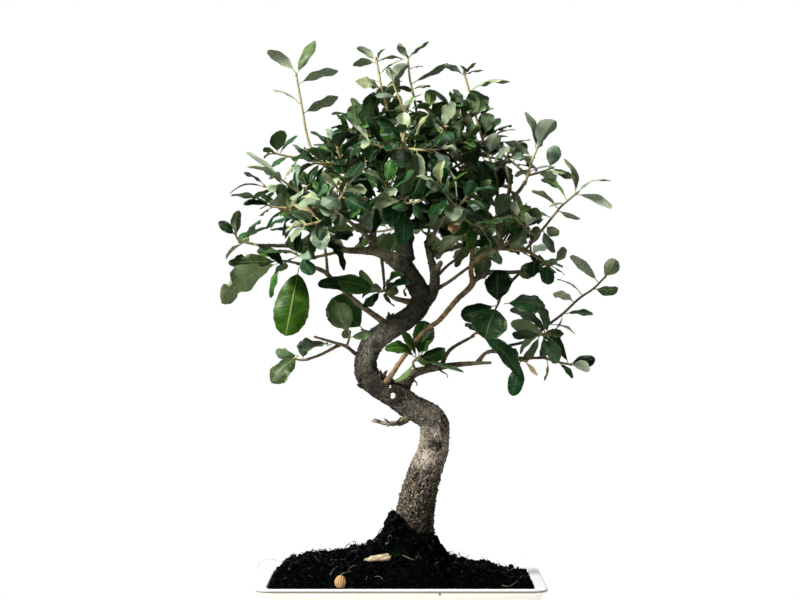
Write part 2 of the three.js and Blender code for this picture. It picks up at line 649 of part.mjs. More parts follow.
// How leaves are added to a stem. Angles in degrees; `open` is the angle between a leaf and its stem.
const GROWTH = {
  firstShare: 0.14,
  spiral: 137.5,
  shootTurn: 61,
  forkTurn: 0.37,
  openLow: 74,
  openTip: 34,
  lift: 0.2,
  sag: 0.05,
  tipSize: 0.7,
  sizeSpread: 0.16,
  widthShare: 0.53,
  widthSpread: 0.07,
  faceStem: 0.3,
  faceSky: 0.7,
  faceOut: 0.75,
  roll: 0.35,
};

const MATERIALS = {
  bark: new THREE.MeshStandardMaterial({ color: 0x6d6355, roughness: 0.95, metalness: 0 }),
  foliage: new THREE.MeshStandardMaterial({ color: 0x2f4f28, roughness: 0.5, metalness: 0 }),
  soil: new THREE.MeshStandardMaterial({ color: 0x14110f, roughness: 1, metalness: 0 }),
  husk: new THREE.MeshStandardMaterial({ color: 0xb08348, roughness: 0.8, metalness: 0 }),
  chip: new THREE.MeshStandardMaterial({ color: 0xc9b792, roughness: 0.85, metalness: 0 }),
  glaze: new THREE.MeshStandardMaterial({ color: 0xf1eddf, roughness: 0.2, metalness: 0 }),
  screen: new THREE.MeshStandardMaterial({ color: 0x1c1c1c, roughness: 0.6, metalness: 0 }),
};

const UP = new THREE.Vector3(0, 0, 1);
const TO_FRONT = new THREE.Vector3(0, -1, 0);
const CROWN_CENTRE = new THREE.Vector3(0, 10, 320);
const SPIRAL_START = new THREE.Vector3(0.3, 1, 0.1);

// The place of something seen from the front at x and z, that far back.
function seen([x, depth, z]) {
  const larger = 1 + depth / EYE_DISTANCE;
  return new THREE.Vector3(x * larger, depth, EYE_HEIGHT + (z - EYE_HEIGHT) * larger);
}

// A closed skin over rings of points, each counter-clockwise about the way from the first ring to the last.
// A ring of one point is a tip; a ring at an end is closed flat.
function loft(rings) {
  const points = rings.flat();
  const faces = [];
  const starts = [];
  let next = 0;
  for (const ring of rings) {
    starts.push(next);
    next += ring.length;
  }
  for (let k = 0; k + 1 < rings.length; k++) {
    const near = rings[k].length;
    const far = rings[k + 1].length;
    const count = Math.max(near, far);
    for (let i = 0; i < count; i++) {
      const j = (i + 1) % count;
      const a = starts[k] + (i % near);
      const b = starts[k] + (j % near);
      const c = starts[k + 1] + (i % far);
      const d = starts[k + 1] + (j % far);
      if (near > 1) faces.push(a, b, d);
      if (far > 1) faces.push(a, d, c);
    }
  }
  const last = starts[starts.length - 1];
  for (let i = 1; i + 1 < rings[0].length; i++) faces.push(0, i + 1, i);
  for (let i = 1; i + 1 < rings[rings.length - 1].length; i++) faces.push(last, last + i, last + i + 1);
  const geometry = new THREE.BufferGeometry().setFromPoints(points);
  geometry.setIndex(faces);
  return geometry;
}

// A closed geometry as a manifold solid.
function solidOf(geometry) {
  const bare = geometry.clone();
  bare.deleteAttribute("normal");
  bare.deleteAttribute("uv");
  const merged = mergeVertices(bare);
  const vertProperties = merged.getAttribute("position").array;
  const triVerts = new Uint32Array(merged.index.array);
  return new wasm.Manifold(new wasm.Mesh({ numProp: 3, vertProperties, triVerts }));
}

// A box or cylinder geometry, moved, as a solid.
function placed(geometry, x, y, z) {
  return solidOf(geometry.translate(x, y, z));
}

function meshOf(name, solid, material) {
  const { vertProperties, triVerts } = solid.asOriginal().simplify(FINEST).getMesh();
  const geometry = new THREE.BufferGeometry();
  geometry.setAttribute("position", new THREE.BufferAttribute(vertProperties, 3));
  geometry.setIndex(new THREE.BufferAttribute(triVerts, 1));
  geometry.computeVertexNormals();
  const mesh = new THREE.Mesh(geometry, material);
  mesh.name = name;
  return mesh;
}

function ringAt(centre, across, along, radius, sides) {
  const up = along.clone().cross(across);
  return Array.from({ length: sides }, (_, i) => {
    const angle = (2 * Math.PI * i) / sides;
    return centre
      .clone()
      .addScaledVector(across, radius * Math.cos(angle))
      .addScaledVector(up, radius * Math.sin(angle));
  });
}

function curveThrough(rows) {
  return new THREE.CatmullRomCurve3(rows.map(seen), false, "centripetal");
}

// A point inside a stem at a share of its length, never right at its cut end.
function insideStem(path, share) {
  return path.getPoint(Math.min(share, 1 - STEM.endInset / path.getLength()));
}

// The straight stretches between a stem's rings, as one path.
function stemPath(rows) {
  const points = rows.map(seen);
  const path = new THREE.CurvePath();
  points.slice(1).forEach((point, i) => path.add(new THREE.LineCurve3(points[i], point)));
  return path;
}

// A tapering round limb with a ring at each row of x, depth, z and radius. `grow` widens it all over.
function limbSolid(rows, sides, grow = 0) {
  const curve = curveThrough(rows);
  const across = new THREE.Vector3(0, 1, 0.01);
  const rings = rows.map((row, i) => {
    const along = curve.getTangent(i / (rows.length - 1));
    across.projectOnPlane(along).normalize();
    return ringAt(seen(row), across, along, row[3] + grow, sides);
  });
  return solidOf(loft(rings));
}

function limbSides(rows) {
  const thickest = Math.max(...rows.map((row) => row[3]));
  return LIMB_SIDES.find(({ radius }) => thickest > radius).sides;
}

// The trunk and its limbs, each a solid, `grow` wider than they are.
function limbSolids(grow) {
  return [TRUNK, ...Object.values(LIMBS)].map((rows) => limbSolid(rows, limbSides(rows), grow));
}

function largestPiece(solid) {
  return solid.decompose().reduce((best, piece) => (piece.volume() > best.volume() ? piece : best));
}

// A leaf as a keeled kite from its base point to its tip. `blade` is the kite without its narrow start.
function leafSolids({ base, tip, up, width }) {
  const along = tip.clone().sub(base);
  const length = along.length();
  along.normalize();
  const normal = up.clone().projectOnPlane(along).normalize();
  const side = normal.clone().cross(along);
  const ring = (share, opened) => {
    const centre = base.clone().addScaledVector(along, length * share);
    centre.addScaledVector(normal, length * LEAF.arch * opened);
    return [
      centre.clone().addScaledVector(side, (width / 2) * opened),
      centre.clone().addScaledVector(side, (-width / 2) * opened),
      centre.clone().addScaledVector(normal, -LEAF.keel * opened),
    ];
  };
  const widest = ring(LEAF.widestShare, 1);
  const start = ring(LEAF.bladeShare, LEAF.bladeShare / LEAF.widestShare);
  return {
    whole: solidOf(loft([[base], widest, [tip]])),
    blade: solidOf(loft([start, widest, [tip]])),
  };
}

// A leaf of a hand-chosen row, its turn and the tip's depth changed by a little.
function listedLeaf(path, row, turnBy, deeperBy) {
  const [share, x, deeper, z, width, turn] = row;
  const base = insideStem(path, share);
  const tip = seen([x, base.y + deeper + deeperBy, z]);
  const along = tip.clone().sub(base).normalize();
  const face = TO_FRONT.clone().projectOnPlane(along).normalize();
  const over = along.clone().cross(face);
  if (over.z < 0) over.negate();
  const angle = THREE.MathUtils.degToRad(turn + turnBy);
  const up = face.multiplyScalar(Math.cos(angle)).addScaledVector(over, Math.sin(angle));
  return { base, tip, up, width };
}

// A steady number between -1 and 1 for the i-th leaf of a shoot.
function vary(i, salt) {
  const wave = Math.sin(i * 12.9898 + salt * 78.233) * 43758.5453;
  return 2 * (wave - Math.floor(wave)) - 1;
}

// The i-th leaf that phyllotaxis adds to a stem: spiralling, wide open low down and closing at the tip. Its
// upper face looks up and out of the crown.
function grownLeaf(path, [count, size], salt, i, turnBy, shrink) {
  const share = Math.min(1, GROWTH.firstShare + ((1 - GROWTH.firstShare) * (i + 1)) / count);
  const stem = path.getTangent(share);
  const base = insideStem(path, share);
  const across = SPIRAL_START.clone().projectOnPlane(stem).normalize();
  const turn = i * GROWTH.spiral + salt * GROWTH.shootTurn + turnBy;
  across.applyAxisAngle(stem, THREE.MathUtils.degToRad(turn));
  const open = THREE.MathUtils.degToRad(THREE.MathUtils.lerp(GROWTH.openLow, GROWTH.openTip, share ** 2));
  const along = stem.clone().multiplyScalar(Math.cos(open)).addScaledVector(across, Math.sin(open));
  along.z += GROWTH.lift * vary(i, salt) - GROWTH.sag;
  along.normalize();
  const closing = THREE.MathUtils.lerp(1, GROWTH.tipSize, share ** 3);
  const length = size * closing * (1 + GROWTH.sizeSpread * vary(i, salt + 7)) * shrink;
  const tip = base.clone().addScaledVector(along, length);
  const out = base.clone().sub(CROWN_CENTRE).normalize();
  const up = stem.clone().multiplyScalar(GROWTH.faceStem);
  up.addScaledVector(UP, GROWTH.faceSky).addScaledVector(out, GROWTH.faceOut);
  up.addScaledVector(along.clone().cross(UP), GROWTH.roll * vary(i, salt + 5));
  const width = length * (GROWTH.widthShare + GROWTH.widthSpread * vary(i, salt + 3));
  return { base, tip, up, width };
}

function boxesNear(a, b, gap) {
  return [0, 1, 2].every((k) => a.min[k] - gap < b.max[k] && b.min[k] - gap < a.max[k]);
}

// What has been placed so far: each solid with its box and the shoot it belongs to.
const taken = [];

function take(solid, owner) {
  taken.push({ solid, owner, box: solid.boundingBox() });
}

function isClear(solids, owner) {
  const box = solids.whole.boundingBox();
  return taken.every((other) => {
    if (!boxesNear(box, other.box, GAP)) return true;
    const own = other.owner === owner ? solids.blade : solids.whole;
    return own.minGap(other.solid, 2 * GAP) > GAP;
  });
}

const LISTED_TRIES = [
  [0, 0], [14, 0], [-14, 0], [0, 5], [0, -5], [28, 4], [-28, -4], [0, 10], [0, -10], [14, 14], [-14, -14],
  [40, 8], [-40, -8], [0, 20], [0, -20],
];
const GROWN_TRIES = [
  [0, 1], [28, 1], [-28, 1], [56, 1], [-56, 1], [90, 1], [-90, 1], [0, 0.8], [40, 0.8], [-40, 0.8],
  [130, 0.8], [180, 0.8],
];

// The first of some variants of a leaf that touches nothing, or nothing.
function clearLeaf(tries, variant, owner) {
  for (const change of tries) {
    const leaf = variant(...change);
    const solids = leafSolids(leaf);
    if (isClear(solids, owner)) return solids;
  }
  return null;
}

// A stem's rows with the radius it has at each.
function taper(rows) {
  const last = rows.length - 1;
  return rows.map((row, i) => [...row, THREE.MathUtils.lerp(STEM.baseRadius, STEM.tipRadius, i / last)]);
}

// A shoot's stem and its forks, each as its rows.
function stemsOf(shoot) {
  return [shoot.stem, ...(shoot.forks ?? [])];
}

function buildShoots(woodClearance) {
  const parts = new Map();
  for (const shoot of SHOOTS) {
    const stems = stemsOf(shoot).map((rows) => limbSolid(taper(rows), STEM.sides));
    const joined = largestPiece(wasm.Manifold.union(stems).subtract(woodClearance));
    parts.set(shoot, [joined]);
    take(joined, shoot.name);
  }
  const addLeaf = (shoot, tries, variant) => {
    const solids = clearLeaf(tries, variant, shoot.name);
    if (!solids) return;
    take(solids.whole, shoot.name);
    parts.get(shoot).push(solids.whole);
  };
  for (const shoot of SHOOTS) {
    const path = stemPath(shoot.stem);
    for (const row of shoot.leaves) {
      addLeaf(shoot, LISTED_TRIES, (turnBy, deeperBy) => listedLeaf(path, row, turnBy, deeperBy));
    }
  }
  SHOOTS.forEach((shoot, index) => {
    stemsOf(shoot).forEach((rows, stem) => {
      const path = stemPath(rows);
      const fill = stem > 0 ? (shoot.forkFill ?? shoot.fill) : shoot.fill;
      const salt = index + GROWTH.forkTurn * stem;
      for (let i = 0; i < fill[0]; i++) {
        addLeaf(shoot, GROWN_TRIES, (turnBy, shrink) => grownLeaf(path, fill, salt, i, turnBy, shrink));
      }
    });
  });
  return SHOOTS.map((shoot) => {
    const mesh = meshOf(shoot.name, wasm.Manifold.union(parts.get(shoot)), MATERIALS.foliage);
    mesh.userData.leaves = parts.get(shoot).length - 1;
    return mesh;
  });
}

// Half sizes of a rounded rectangle turned into a ring of points, counter-clockwise from above.
function roundedRing(halfLength, halfDepth, radius, z) {
  const corners = [[1, 1], [-1, 1], [-1, -1], [1, -1]];
  return corners.flatMap(([sx, sy], corner) =>
    Array.from({ length: POT.cornerSteps + 1 }, (_, i) => {
      const angle = (Math.PI / 2) * (corner + i / POT.cornerSteps);
      return new THREE.Vector3(
        sx * (halfLength - radius) + radius * Math.cos(angle),
        sy * (halfDepth - radius) + radius * Math.sin(angle),
        z,
      );
    }),
  );
}

const RIM = POT.rimHeight;
const BASE = RIM - POT.height;
const TRAY_BOTTOM = BASE + POT.footHeight;
const FLOOR = TRAY_BOTTOM + POT.floor;

// How far the inner wall has drawn in from the rim at height z.
function drawnIn(z) {
  return (POT.taper * (RIM - z)) / (RIM - TRAY_BOTTOM);
}

function potRing(inset, radius, z) {
  return roundedRing(POT.length / 2 - inset, POT.depth / 2 - inset, radius, z);
}

function buildPot() {
  const lip = POT.lipReach;
  const inner = lip + POT.wall;
  const round = POT.cornerRadius;
  const innerRound = POT.innerCornerRadius;
  const { edge, baseEdge } = POT;
  const lipUnder = RIM - POT.lipThickness;
  const tray = solidOf(
    loft([
      potRing(lip + POT.taper + baseEdge, round - baseEdge, TRAY_BOTTOM),
      potRing(lip + POT.taper, round - edge, TRAY_BOTTOM + baseEdge),
      potRing(lip + POT.lipEase, round - edge, lipUnder - POT.lipCove),
      potRing(edge, round, lipUnder),
      potRing(0, round, lipUnder + edge),
      potRing(0, round, RIM - edge),
      potRing(edge, round - edge, RIM),
      potRing(inner - edge, innerRound + edge, RIM),
      potRing(inner, innerRound, RIM - edge),
      potRing(inner + drawnIn(FLOOR + baseEdge), innerRound, FLOOR + baseEdge),
      potRing(inner + drawnIn(FLOOR) + baseEdge, innerRound - edge, FLOOR),
    ]),
  );
  const feet = [];
  const holes = [];
  for (const sx of [-1, 1]) {
    for (const sy of [-1, 1]) {
      const x = sx * (POT.length / 2 - lip - POT.taper - POT.footInset - POT.footLength / 2);
      const y = sy * (POT.depth / 2 - lip - POT.taper - POT.footInset - POT.footWidth / 2);
      const foot = new THREE.BoxGeometry(POT.footLength, POT.footWidth, POT.footHeight + 1);
      feet.push(placed(foot, x, y, BASE + (POT.footHeight + 1) / 2));
    }
    const drill = new THREE.CylinderGeometry(DRAIN.radius, DRAIN.radius, 4 * POT.floor, DRAIN.sides);
    holes.push(placed(drill.rotateX(Math.PI / 2), sx * DRAIN.offset, 0, FLOOR));
  }
  return wasm.Manifold.union([tray, ...feet]).subtract(wasm.Manifold.union(holes));
}

function soilHeight(x, y) {
  const k = Math.max(1, SOIL_PROFILE.findIndex(([at]) => at >= x));
  const [x0, z0] = SOIL_PROFILE[k - 1];
  const [x1, z1] = SOIL_PROFILE[k];
  const along = THREE.MathUtils.clamp((x - x0) / (x1 - x0), 0, 1);
  const ridge = THREE.MathUtils.lerp(z0, z1, along);
  const across = Math.min(1, Math.abs(y) / (POT.depth / 2 - POT.lipReach - POT.wall));
  const slope = Math.cos((Math.PI / 2) * across ** SOIL.slope);
  return RIM - SOIL.rimDrop + (ridge + SOIL.rimDrop) * slope;
}

// A rounded ring with points added along its long and its short sides.
function withSides(ring) {
  const arc = POT.cornerSteps + 1;
  return ring.flatMap((point, i) => {
    const next = ring[(i + 1) % ring.length];
    const corner = Math.floor(i / arc);
    const steps = i % arc === arc - 1 ? SOIL.sideSteps[corner % 2] : 1;
    return Array.from({ length: steps }, (_, k) => point.clone().lerp(next, k / steps));
  });
}

// The mound: a flat base on the tray's floor, sides along the wall, and rings up to the middle.
function buildMound() {
  const inner = POT.lipReach + POT.wall + GAP;
  const round = POT.innerCornerRadius;
  const heel = FLOOR + POT.baseEdge;
  const foot = potRing(inner + drawnIn(heel) + POT.baseEdge, round - POT.edge, FLOOR + GAP);
  const side = potRing(inner + drawnIn(heel) + SOIL.slack, round, heel + GAP);
  const brim = withSides(potRing(inner + drawnIn(RIM - SOIL.brimDrop), round, RIM - SOIL.brimDrop));
  const rings = [withSides(foot), withSides(side), brim];
  for (let k = SOIL.rings; k > 0; k--) {
    const share = (k / SOIL.rings) ** SOIL.crowding;
    rings.push(
      brim.map((point) => {
        const x = point.x * share;
        const y = point.y * share;
        return new THREE.Vector3(x, y, Math.max(soilHeight(x, y), RIM - SOIL.edgeDrop));
      }),
    );
  }
  rings.push([new THREE.Vector3(0, 0, soilHeight(0, 0))]);
  return solidOf(loft(rings));
}

// The husk as a leaning oval, `grow` larger than it is.
function huskSolid(grow) {
  const oval = new THREE.SphereGeometry(0.5, HUSK_FACETS.around, HUSK_FACETS.along);
  oval.scale(HUSK.length + 2 * grow, HUSK.width + 2 * grow, HUSK.thickness + 2 * grow);
  oval.rotateX(THREE.MathUtils.degToRad(HUSK.lean));
  oval.rotateZ(THREE.MathUtils.degToRad(HUSK.turn));
  return placed(oval, HUSK.x, HUSK.depth, HUSK.z);
}

function chipSolid(grow) {
  const [length, width, thickness] = [CHIP.length, CHIP.width, CHIP.thickness];
  const slab = new THREE.BoxGeometry(length + 2 * grow, width + 2 * grow, thickness + 2 * grow);
  slab.rotateX(THREE.MathUtils.degToRad(CHIP.lean));
  slab.rotateZ(THREE.MathUtils.degToRad(CHIP.turn));
  return placed(slab, CHIP.x, CHIP.depth, soilHeight(CHIP.x, CHIP.depth) + CHIP.lift);
}

function screenSolid(x, grow) {
  const side = SCREEN.side + 2 * grow;
  const plate = new THREE.BoxGeometry(side, side, SCREEN.thickness + 2 * grow);
  return placed(plate, x, 0, FLOOR + GAP + SCREEN.thickness / 2);
}

function buildScreen(x) {
  const pitch = (SCREEN.side - SCREEN.barWidth) / SCREEN.openings;
  const size = pitch - SCREEN.barWidth;
  const first = (SCREEN.barWidth + pitch - SCREEN.side) / 2;
  const openings = [];
  for (let i = 0; i < SCREEN.openings; i++) {
    for (let j = 0; j < SCREEN.openings; j++) {
      const hole = new THREE.BoxGeometry(size, size, 4 * SCREEN.thickness);
      openings.push(placed(hole, x + first + i * pitch, first + j * pitch, FLOOR + GAP));
    }
  }
  return screenSolid(x, 0).subtract(wasm.Manifold.union(openings));
}

const wood = wasm.Manifold.union(limbSolids(0));
const clearanceLimbs = limbSolids(WOOD_GAP);
const woodClearance = wasm.Manifold.union(clearanceLimbs);
clearanceLimbs.forEach((limb) => take(limb, "wood"));

const pockets = [
  woodClearance,
  huskSolid(GAP),
  chipSolid(GAP),
  screenSolid(-DRAIN.offset, GAP),
  screenSolid(DRAIN.offset, GAP),
];
const soil = buildMound().subtract(wasm.Manifold.union(pockets));

const tree = new THREE.Group();
tree.add(meshOf("trunk_and_branches", wood, MATERIALS.bark));
tree.add(...buildShoots(woodClearance));
tree.add(meshOf("soil_mound", soil, MATERIALS.soil));
tree.add(meshOf("seed_husk", huskSolid(0), MATERIALS.husk));
tree.add(meshOf("bark_chip", chipSolid(0), MATERIALS.chip));
tree.add(meshOf("pot", buildPot(), MATERIALS.glaze));
tree.add(meshOf("drainage_screen_left", buildScreen(-DRAIN.offset), MATERIALS.screen));
tree.add(meshOf("drainage_screen_right", buildScreen(DRAIN.offset), MATERIALS.screen));

// The part's origin is the middle of its box, on the surface that it stands on.
const bonsai = new THREE.Group();
bonsai.add(tree);
const box = new THREE.Box3().setFromObject(bonsai);
const middle = box.getCenter(new THREE.Vector3());
tree.position.set(-middle.x, -middle.y, -box.min.z);

export default bonsai;
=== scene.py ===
"""Looks of a cork oak bonsai in a cream-glazed tray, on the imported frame.

Lengths in the lists are millimetres as they are seen from the front: x and z in the plane of the trunk, with
height 0 where the front of the rim is seen. Everything that is built is in metres, +Z up.
"""

import logging
import math
from collections.abc import Sequence
from dataclasses import dataclass, field, replace
from enum import Enum

import bmesh
import bpy
import numpy as np
from mathutils import Matrix, Vector, noise


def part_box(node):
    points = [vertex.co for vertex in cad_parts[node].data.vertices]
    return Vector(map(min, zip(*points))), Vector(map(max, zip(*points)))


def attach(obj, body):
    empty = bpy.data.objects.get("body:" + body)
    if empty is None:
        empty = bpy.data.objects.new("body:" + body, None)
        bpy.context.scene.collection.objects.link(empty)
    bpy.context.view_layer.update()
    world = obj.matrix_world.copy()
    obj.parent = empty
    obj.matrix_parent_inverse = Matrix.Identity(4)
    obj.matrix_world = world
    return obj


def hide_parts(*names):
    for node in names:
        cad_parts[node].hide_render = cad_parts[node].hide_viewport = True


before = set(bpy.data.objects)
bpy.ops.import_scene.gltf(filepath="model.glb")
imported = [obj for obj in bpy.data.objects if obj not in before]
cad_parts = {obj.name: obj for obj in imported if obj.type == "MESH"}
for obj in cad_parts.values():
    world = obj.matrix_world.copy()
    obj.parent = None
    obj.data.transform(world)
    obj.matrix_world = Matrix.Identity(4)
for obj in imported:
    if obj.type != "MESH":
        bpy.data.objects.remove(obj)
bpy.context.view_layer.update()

LOG = logging.getLogger("bonsai")
MM = 0.001
EYE_DISTANCE = 2400.0
EYE_HEIGHT = 259.0
PIXEL = 0.9
PHOTO_ZERO = (401.0, 588.0)
BODY = "root"
HASH = (12.9898, 78.233, 43758.5453)

Array = np.ndarray
Colour = tuple[float, float, float]
Material = bpy.types.Material
Mesh = bpy.types.Mesh
Piece = bpy.types.Object
Row = tuple[float, ...]


@dataclass(frozen=True)
class Site:
    """Where the tray stands in the frame, and how photo places and seen places turn into points."""

    middle_x: float
    middle_y: float
    zero_z: float

    @classmethod
    def of_tray(cls, rim_height: float) -> "Site":
        """Finds the site, in metres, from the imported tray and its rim's height above height 0."""
        low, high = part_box("pot")
        return cls((low.x + high.x) / 2, (low.y + high.y) / 2, high.z - rim_height * MM)

    def place(self, points: Array) -> Array:
        """Turns true tree millimetres into metres of the frame."""
        return np.asarray(points, float) * MM + (self.middle_x, self.middle_y, self.zero_z)

    def unplace(self, points: Array) -> Array:
        """Turns metres of the frame into true tree millimetres."""
        return (np.asarray(points, float) - (self.middle_x, self.middle_y, self.zero_z)) / MM

    @staticmethod
    def seen(rows: Sequence[Row]) -> Array:
        """Gives true millimetres for rows of seen x, depth and seen z; further columns stay.

        Args:
            rows: Rows of x, depth, z and perhaps a radius.

        Returns:
            The same rows with true x and z.
        """
        table = np.array(rows, float)
        larger = 1 + table[:, 1] / EYE_DISTANCE
        table[:, 0] *= larger
        table[:, 2] = EYE_HEIGHT + (table[:, 2] - EYE_HEIGHT) * larger
        return table

    @staticmethod
    def pictured(across: float, down: float, depth: float) -> Array:
        """Gives the true point of a photo place, in pixels from the upper left, at a known depth."""
        return Site.seen([(PIXEL * (across - PHOTO_ZERO[0]), depth, PIXEL * (PHOTO_ZERO[1] - down))])[0]

    @staticmethod
    def photo_place(points: Array) -> tuple[Array, Array]:
        """Gives the photo places of true points.

        Args:
            points: One point, or rows of them.

        Returns:
            Pixels from the photo's left edge, and from its top edge.
        """
        x, depth, z = np.moveaxis(points, -1, 0)
        larger = 1 + depth / EYE_DISTANCE
        height = EYE_HEIGHT + (z - EYE_HEIGHT) / larger
        return x / larger / PIXEL + PHOTO_ZERO[0], PHOTO_ZERO[1] - height / PIXEL


class Channel:
    """One output of a shader node, with Python's arithmetic. A number may stand on either side."""

    def __init__(self, graph: "Graph", socket: bpy.types.NodeSocket) -> None:
        """Wraps a socket of a graph."""
        self.graph = graph
        self.socket = socket

    def __add__(self, other: "Channel | float") -> "Channel":
        """Adds."""
        return self.graph.math("ADD", self, other)

    __radd__ = __add__

    def __sub__(self, other: "Channel | float") -> "Channel":
        """Takes away."""
        return self.graph.math("SUBTRACT", self, other)

    def __rsub__(self, other: "Channel | float") -> "Channel":
        """Takes this from a number."""
        return self.graph.math("SUBTRACT", other, self)

    def __mul__(self, other: "Channel | float") -> "Channel":
        """Multiplies."""
        return self.graph.math("MULTIPLY", self, other)

    __rmul__ = __mul__

    def __abs__(self) -> "Channel":
        """Drops the sign."""
        return self.graph.math("ABSOLUTE", self)

    def between(self, low: float, high: float) -> "Channel":
        """Rises smoothly from 0 at low to 1 at high; falls where low is above high.

        Args:
            low: Value that gives 0.
            high: Value that gives 1.

        Returns:
            The smoothed share.
        """
        settings = {"interpolation_type": "SMOOTHSTEP"}
        inputs = {0: self, 1: min(low, high), 2: max(low, high)}
        rising = self.graph.channel("ShaderNodeMapRange", settings, inputs)
        return rising if low < high else 1 - rising


class Graph:
    """The nodes of one material, or of the world."""

    def __init__(self, name: str, owners: str = "materials", end: str = "ShaderNodeOutputMaterial") -> None:
        """Makes a material or a world with nothing but its output.

        Args:
            name: Its name.
            owners: Blender's list of such things.
            end: Node type of its output.
        """
        self.owner = getattr(bpy.data, owners).new(name)
        self.owner.use_nodes = True
        self.tree = self.owner.node_tree
        self.tree.nodes.clear()
        self.output = self.node(end)

    def node(
        self, kind: str, settings: dict[str, object] | None = None, inputs: dict | None = None
    ) -> bpy.types.ShaderNode:
        """Adds a node.

        Args:
            kind: Blender's node type.
            settings: The node's own properties, set before its sockets.
            inputs: Values or links by socket name or number.

        Returns:
            The node.
        """
        made = self.tree.nodes.new(kind)
        for key, setting in (settings or {}).items():
            setattr(made, key, setting)
        for key, value in (inputs or {}).items():
            self.join(made.inputs[key], value)
        return made

    def join(self, target: bpy.types.NodeSocket, value: object) -> None:
        """Links a channel to a socket, or sets the socket's own value.

        Args:
            target: The socket.
            value: A channel, a number, a vector or a colour.
        """
        if isinstance(value, Channel):
            self.tree.links.new(value.socket, target)
        elif target.type == "RGBA":
            target.default_value = (*value, 1)
        else:
            target.default_value = value

    def channel(
        self, kind: str, settings: dict | None = None, inputs: dict | None = None, output: str | int = 0
    ) -> Channel:
        """Adds a node and gives one of its outputs."""
        return Channel(self, self.node(kind, settings, inputs).outputs[output])

    def math(self, operation: str, *terms: Channel | float) -> Channel:
        """Adds a Math node on one or two terms."""
        return self.channel("ShaderNodeMath", {"operation": operation}, dict(enumerate(terms)))

    def vector_math(self, operation: str, **inputs: object) -> Channel:
        """Adds a Vector Math node, with its inputs named a, b, c and scale."""
        sockets = {("a", "b", "c", "scale").index(key): value for key, value in inputs.items()}
        return self.channel("ShaderNodeVectorMath", {"operation": operation}, sockets)

    def value(self, name: str) -> Channel:
        """Reads a number that the mesh carries."""
        return self.channel("ShaderNodeAttribute", {"attribute_name": name}, None, "Fac")

    def vector(self, name: str) -> Channel:
        """Reads a vector that the mesh carries."""
        return self.channel("ShaderNodeAttribute", {"attribute_name": name}, None, "Vector")

    def place(self) -> Channel:
        """Gives the point on the object, in metres."""
        return self.channel("ShaderNodeTexCoord", None, None, "Object")

    def stretched(self, vector: Channel, x: float, y: float, z: float) -> Channel:
        """Multiplies a vector by a factor for each axis."""
        return self.vector_math("MULTIPLY", a=vector, b=(x, y, z))

    def warped(self, vector: Channel, scale: float, by: float) -> Channel:
        """Shifts a vector unevenly, by soft noise of a scale and by this much at most, in its own unit."""
        shift = self.channel("ShaderNodeTexNoise", None, {"Vector": vector, "Scale": scale}, "Color")
        return self.vector_math("MULTIPLY_ADD", a=shift, b=(by, by, by), c=vector)

    def parts(self, vector: Channel) -> tuple[Channel, Channel, Channel]:
        """Splits a vector into its three numbers."""
        made = self.node("ShaderNodeSeparateXYZ", None, {0: vector})
        return tuple(Channel(self, output) for output in made.outputs)

    def grain(self, vector: Channel, scale: float, detail: float = 3, rough: float = 0.55) -> Channel:
        """Gives soft noise, 0.5 on average, from its scale, octaves and how strong the finer ones are."""
        inputs = {"Vector": vector, "Scale": scale, "Detail": detail, "Roughness": rough}
        return self.channel("ShaderNodeTexNoise", None, inputs)

    def cells(self, vector: Channel, scale: float, feature: str = "F1") -> Channel:
        """Gives the distance to the middle of the nearest cell, or to its edge, in cells."""
        inputs = {"Vector": vector, "Scale": scale}
        return self.channel("ShaderNodeTexVoronoi", {"feature": feature}, inputs, "Distance")

    def blend(self, share: object, first: object, second: object) -> Channel:
        """Mixes two colours; the share is how much of the second there is."""
        settings = {"data_type": "RGBA", "clamp_factor": True}
        return self.channel("ShaderNodeMix", settings, {0: share, 6: first, 7: second}, 2)

    def shaded(self, colour: object, by: Channel) -> Channel:
        """Multiplies a colour by a number."""
        return self.vector_math("SCALE", a=colour, scale=by)

    def bump(self, height: Channel, depth: float, strength: float = 1.0) -> Channel:
        """Turns a height into a normal; depth is what a height of 1 stands for, in metres."""
        inputs = {"Height": height, "Distance": depth, "Strength": strength}
        return self.channel("ShaderNodeBump", None, inputs)

    def end(self, kind: str, inputs: dict[str, object]) -> Material | bpy.types.World:
        """Leads one last shader node to the output and gives the finished material or world."""
        self.tree.links.new(self.node(kind, None, inputs).outputs[0], self.output.inputs[0])
        return self.owner

    def surface(self, **sockets: object) -> Material:
        """Ends the material in a Principled shader; an underscore stands for a space in a socket's name."""
        named = {key.replace("_", " "): value for key, value in sockets.items()}
        return self.end("ShaderNodeBsdfPrincipled", named)


def read_out(items: bpy.types.bpy_prop_collection, key: str, width: int = 1, kind: type = float) -> Array:
    """Reads one property of every item of a mesh.

    Args:
        items: The mesh's vertices, edges, loops or faces.
        key: Blender's name of the property.
        width: How many numbers it has.
        kind: Type of the numbers.

    Returns:
        One number, or one row of them, for each item.
    """
    values = np.zeros(len(items) * width, kind)
    items.foreach_get(key, values)
    return values.reshape(-1, width) if width > 1 else values


def write_carried(mesh: Mesh, key: str, values: Array) -> None:
    """Writes what the vertices of a mesh carry.

    Args:
        mesh: The mesh.
        key: Name of the carried value.
        values: Numbers (1 column) or vectors (3 columns).
    """
    kind = "FLOAT" if values.ndim == 1 or values.shape[1] == 1 else "FLOAT_VECTOR"
    made = mesh.attributes.new(key, kind, "POINT")
    made.data.foreach_set("value" if kind == "FLOAT" else "vector", values.ravel())


def fix_modifiers(piece: Piece) -> Mesh:
    """Gives a piece the mesh that its modifiers make, and drops them.

    Args:
        piece: The piece.

    Returns:
        Its new mesh.
    """
    graph = bpy.context.evaluated_depsgraph_get()
    made = bpy.data.meshes.new_from_object(piece.evaluated_get(graph))
    piece.modifiers.clear()
    piece.data = made
    return made


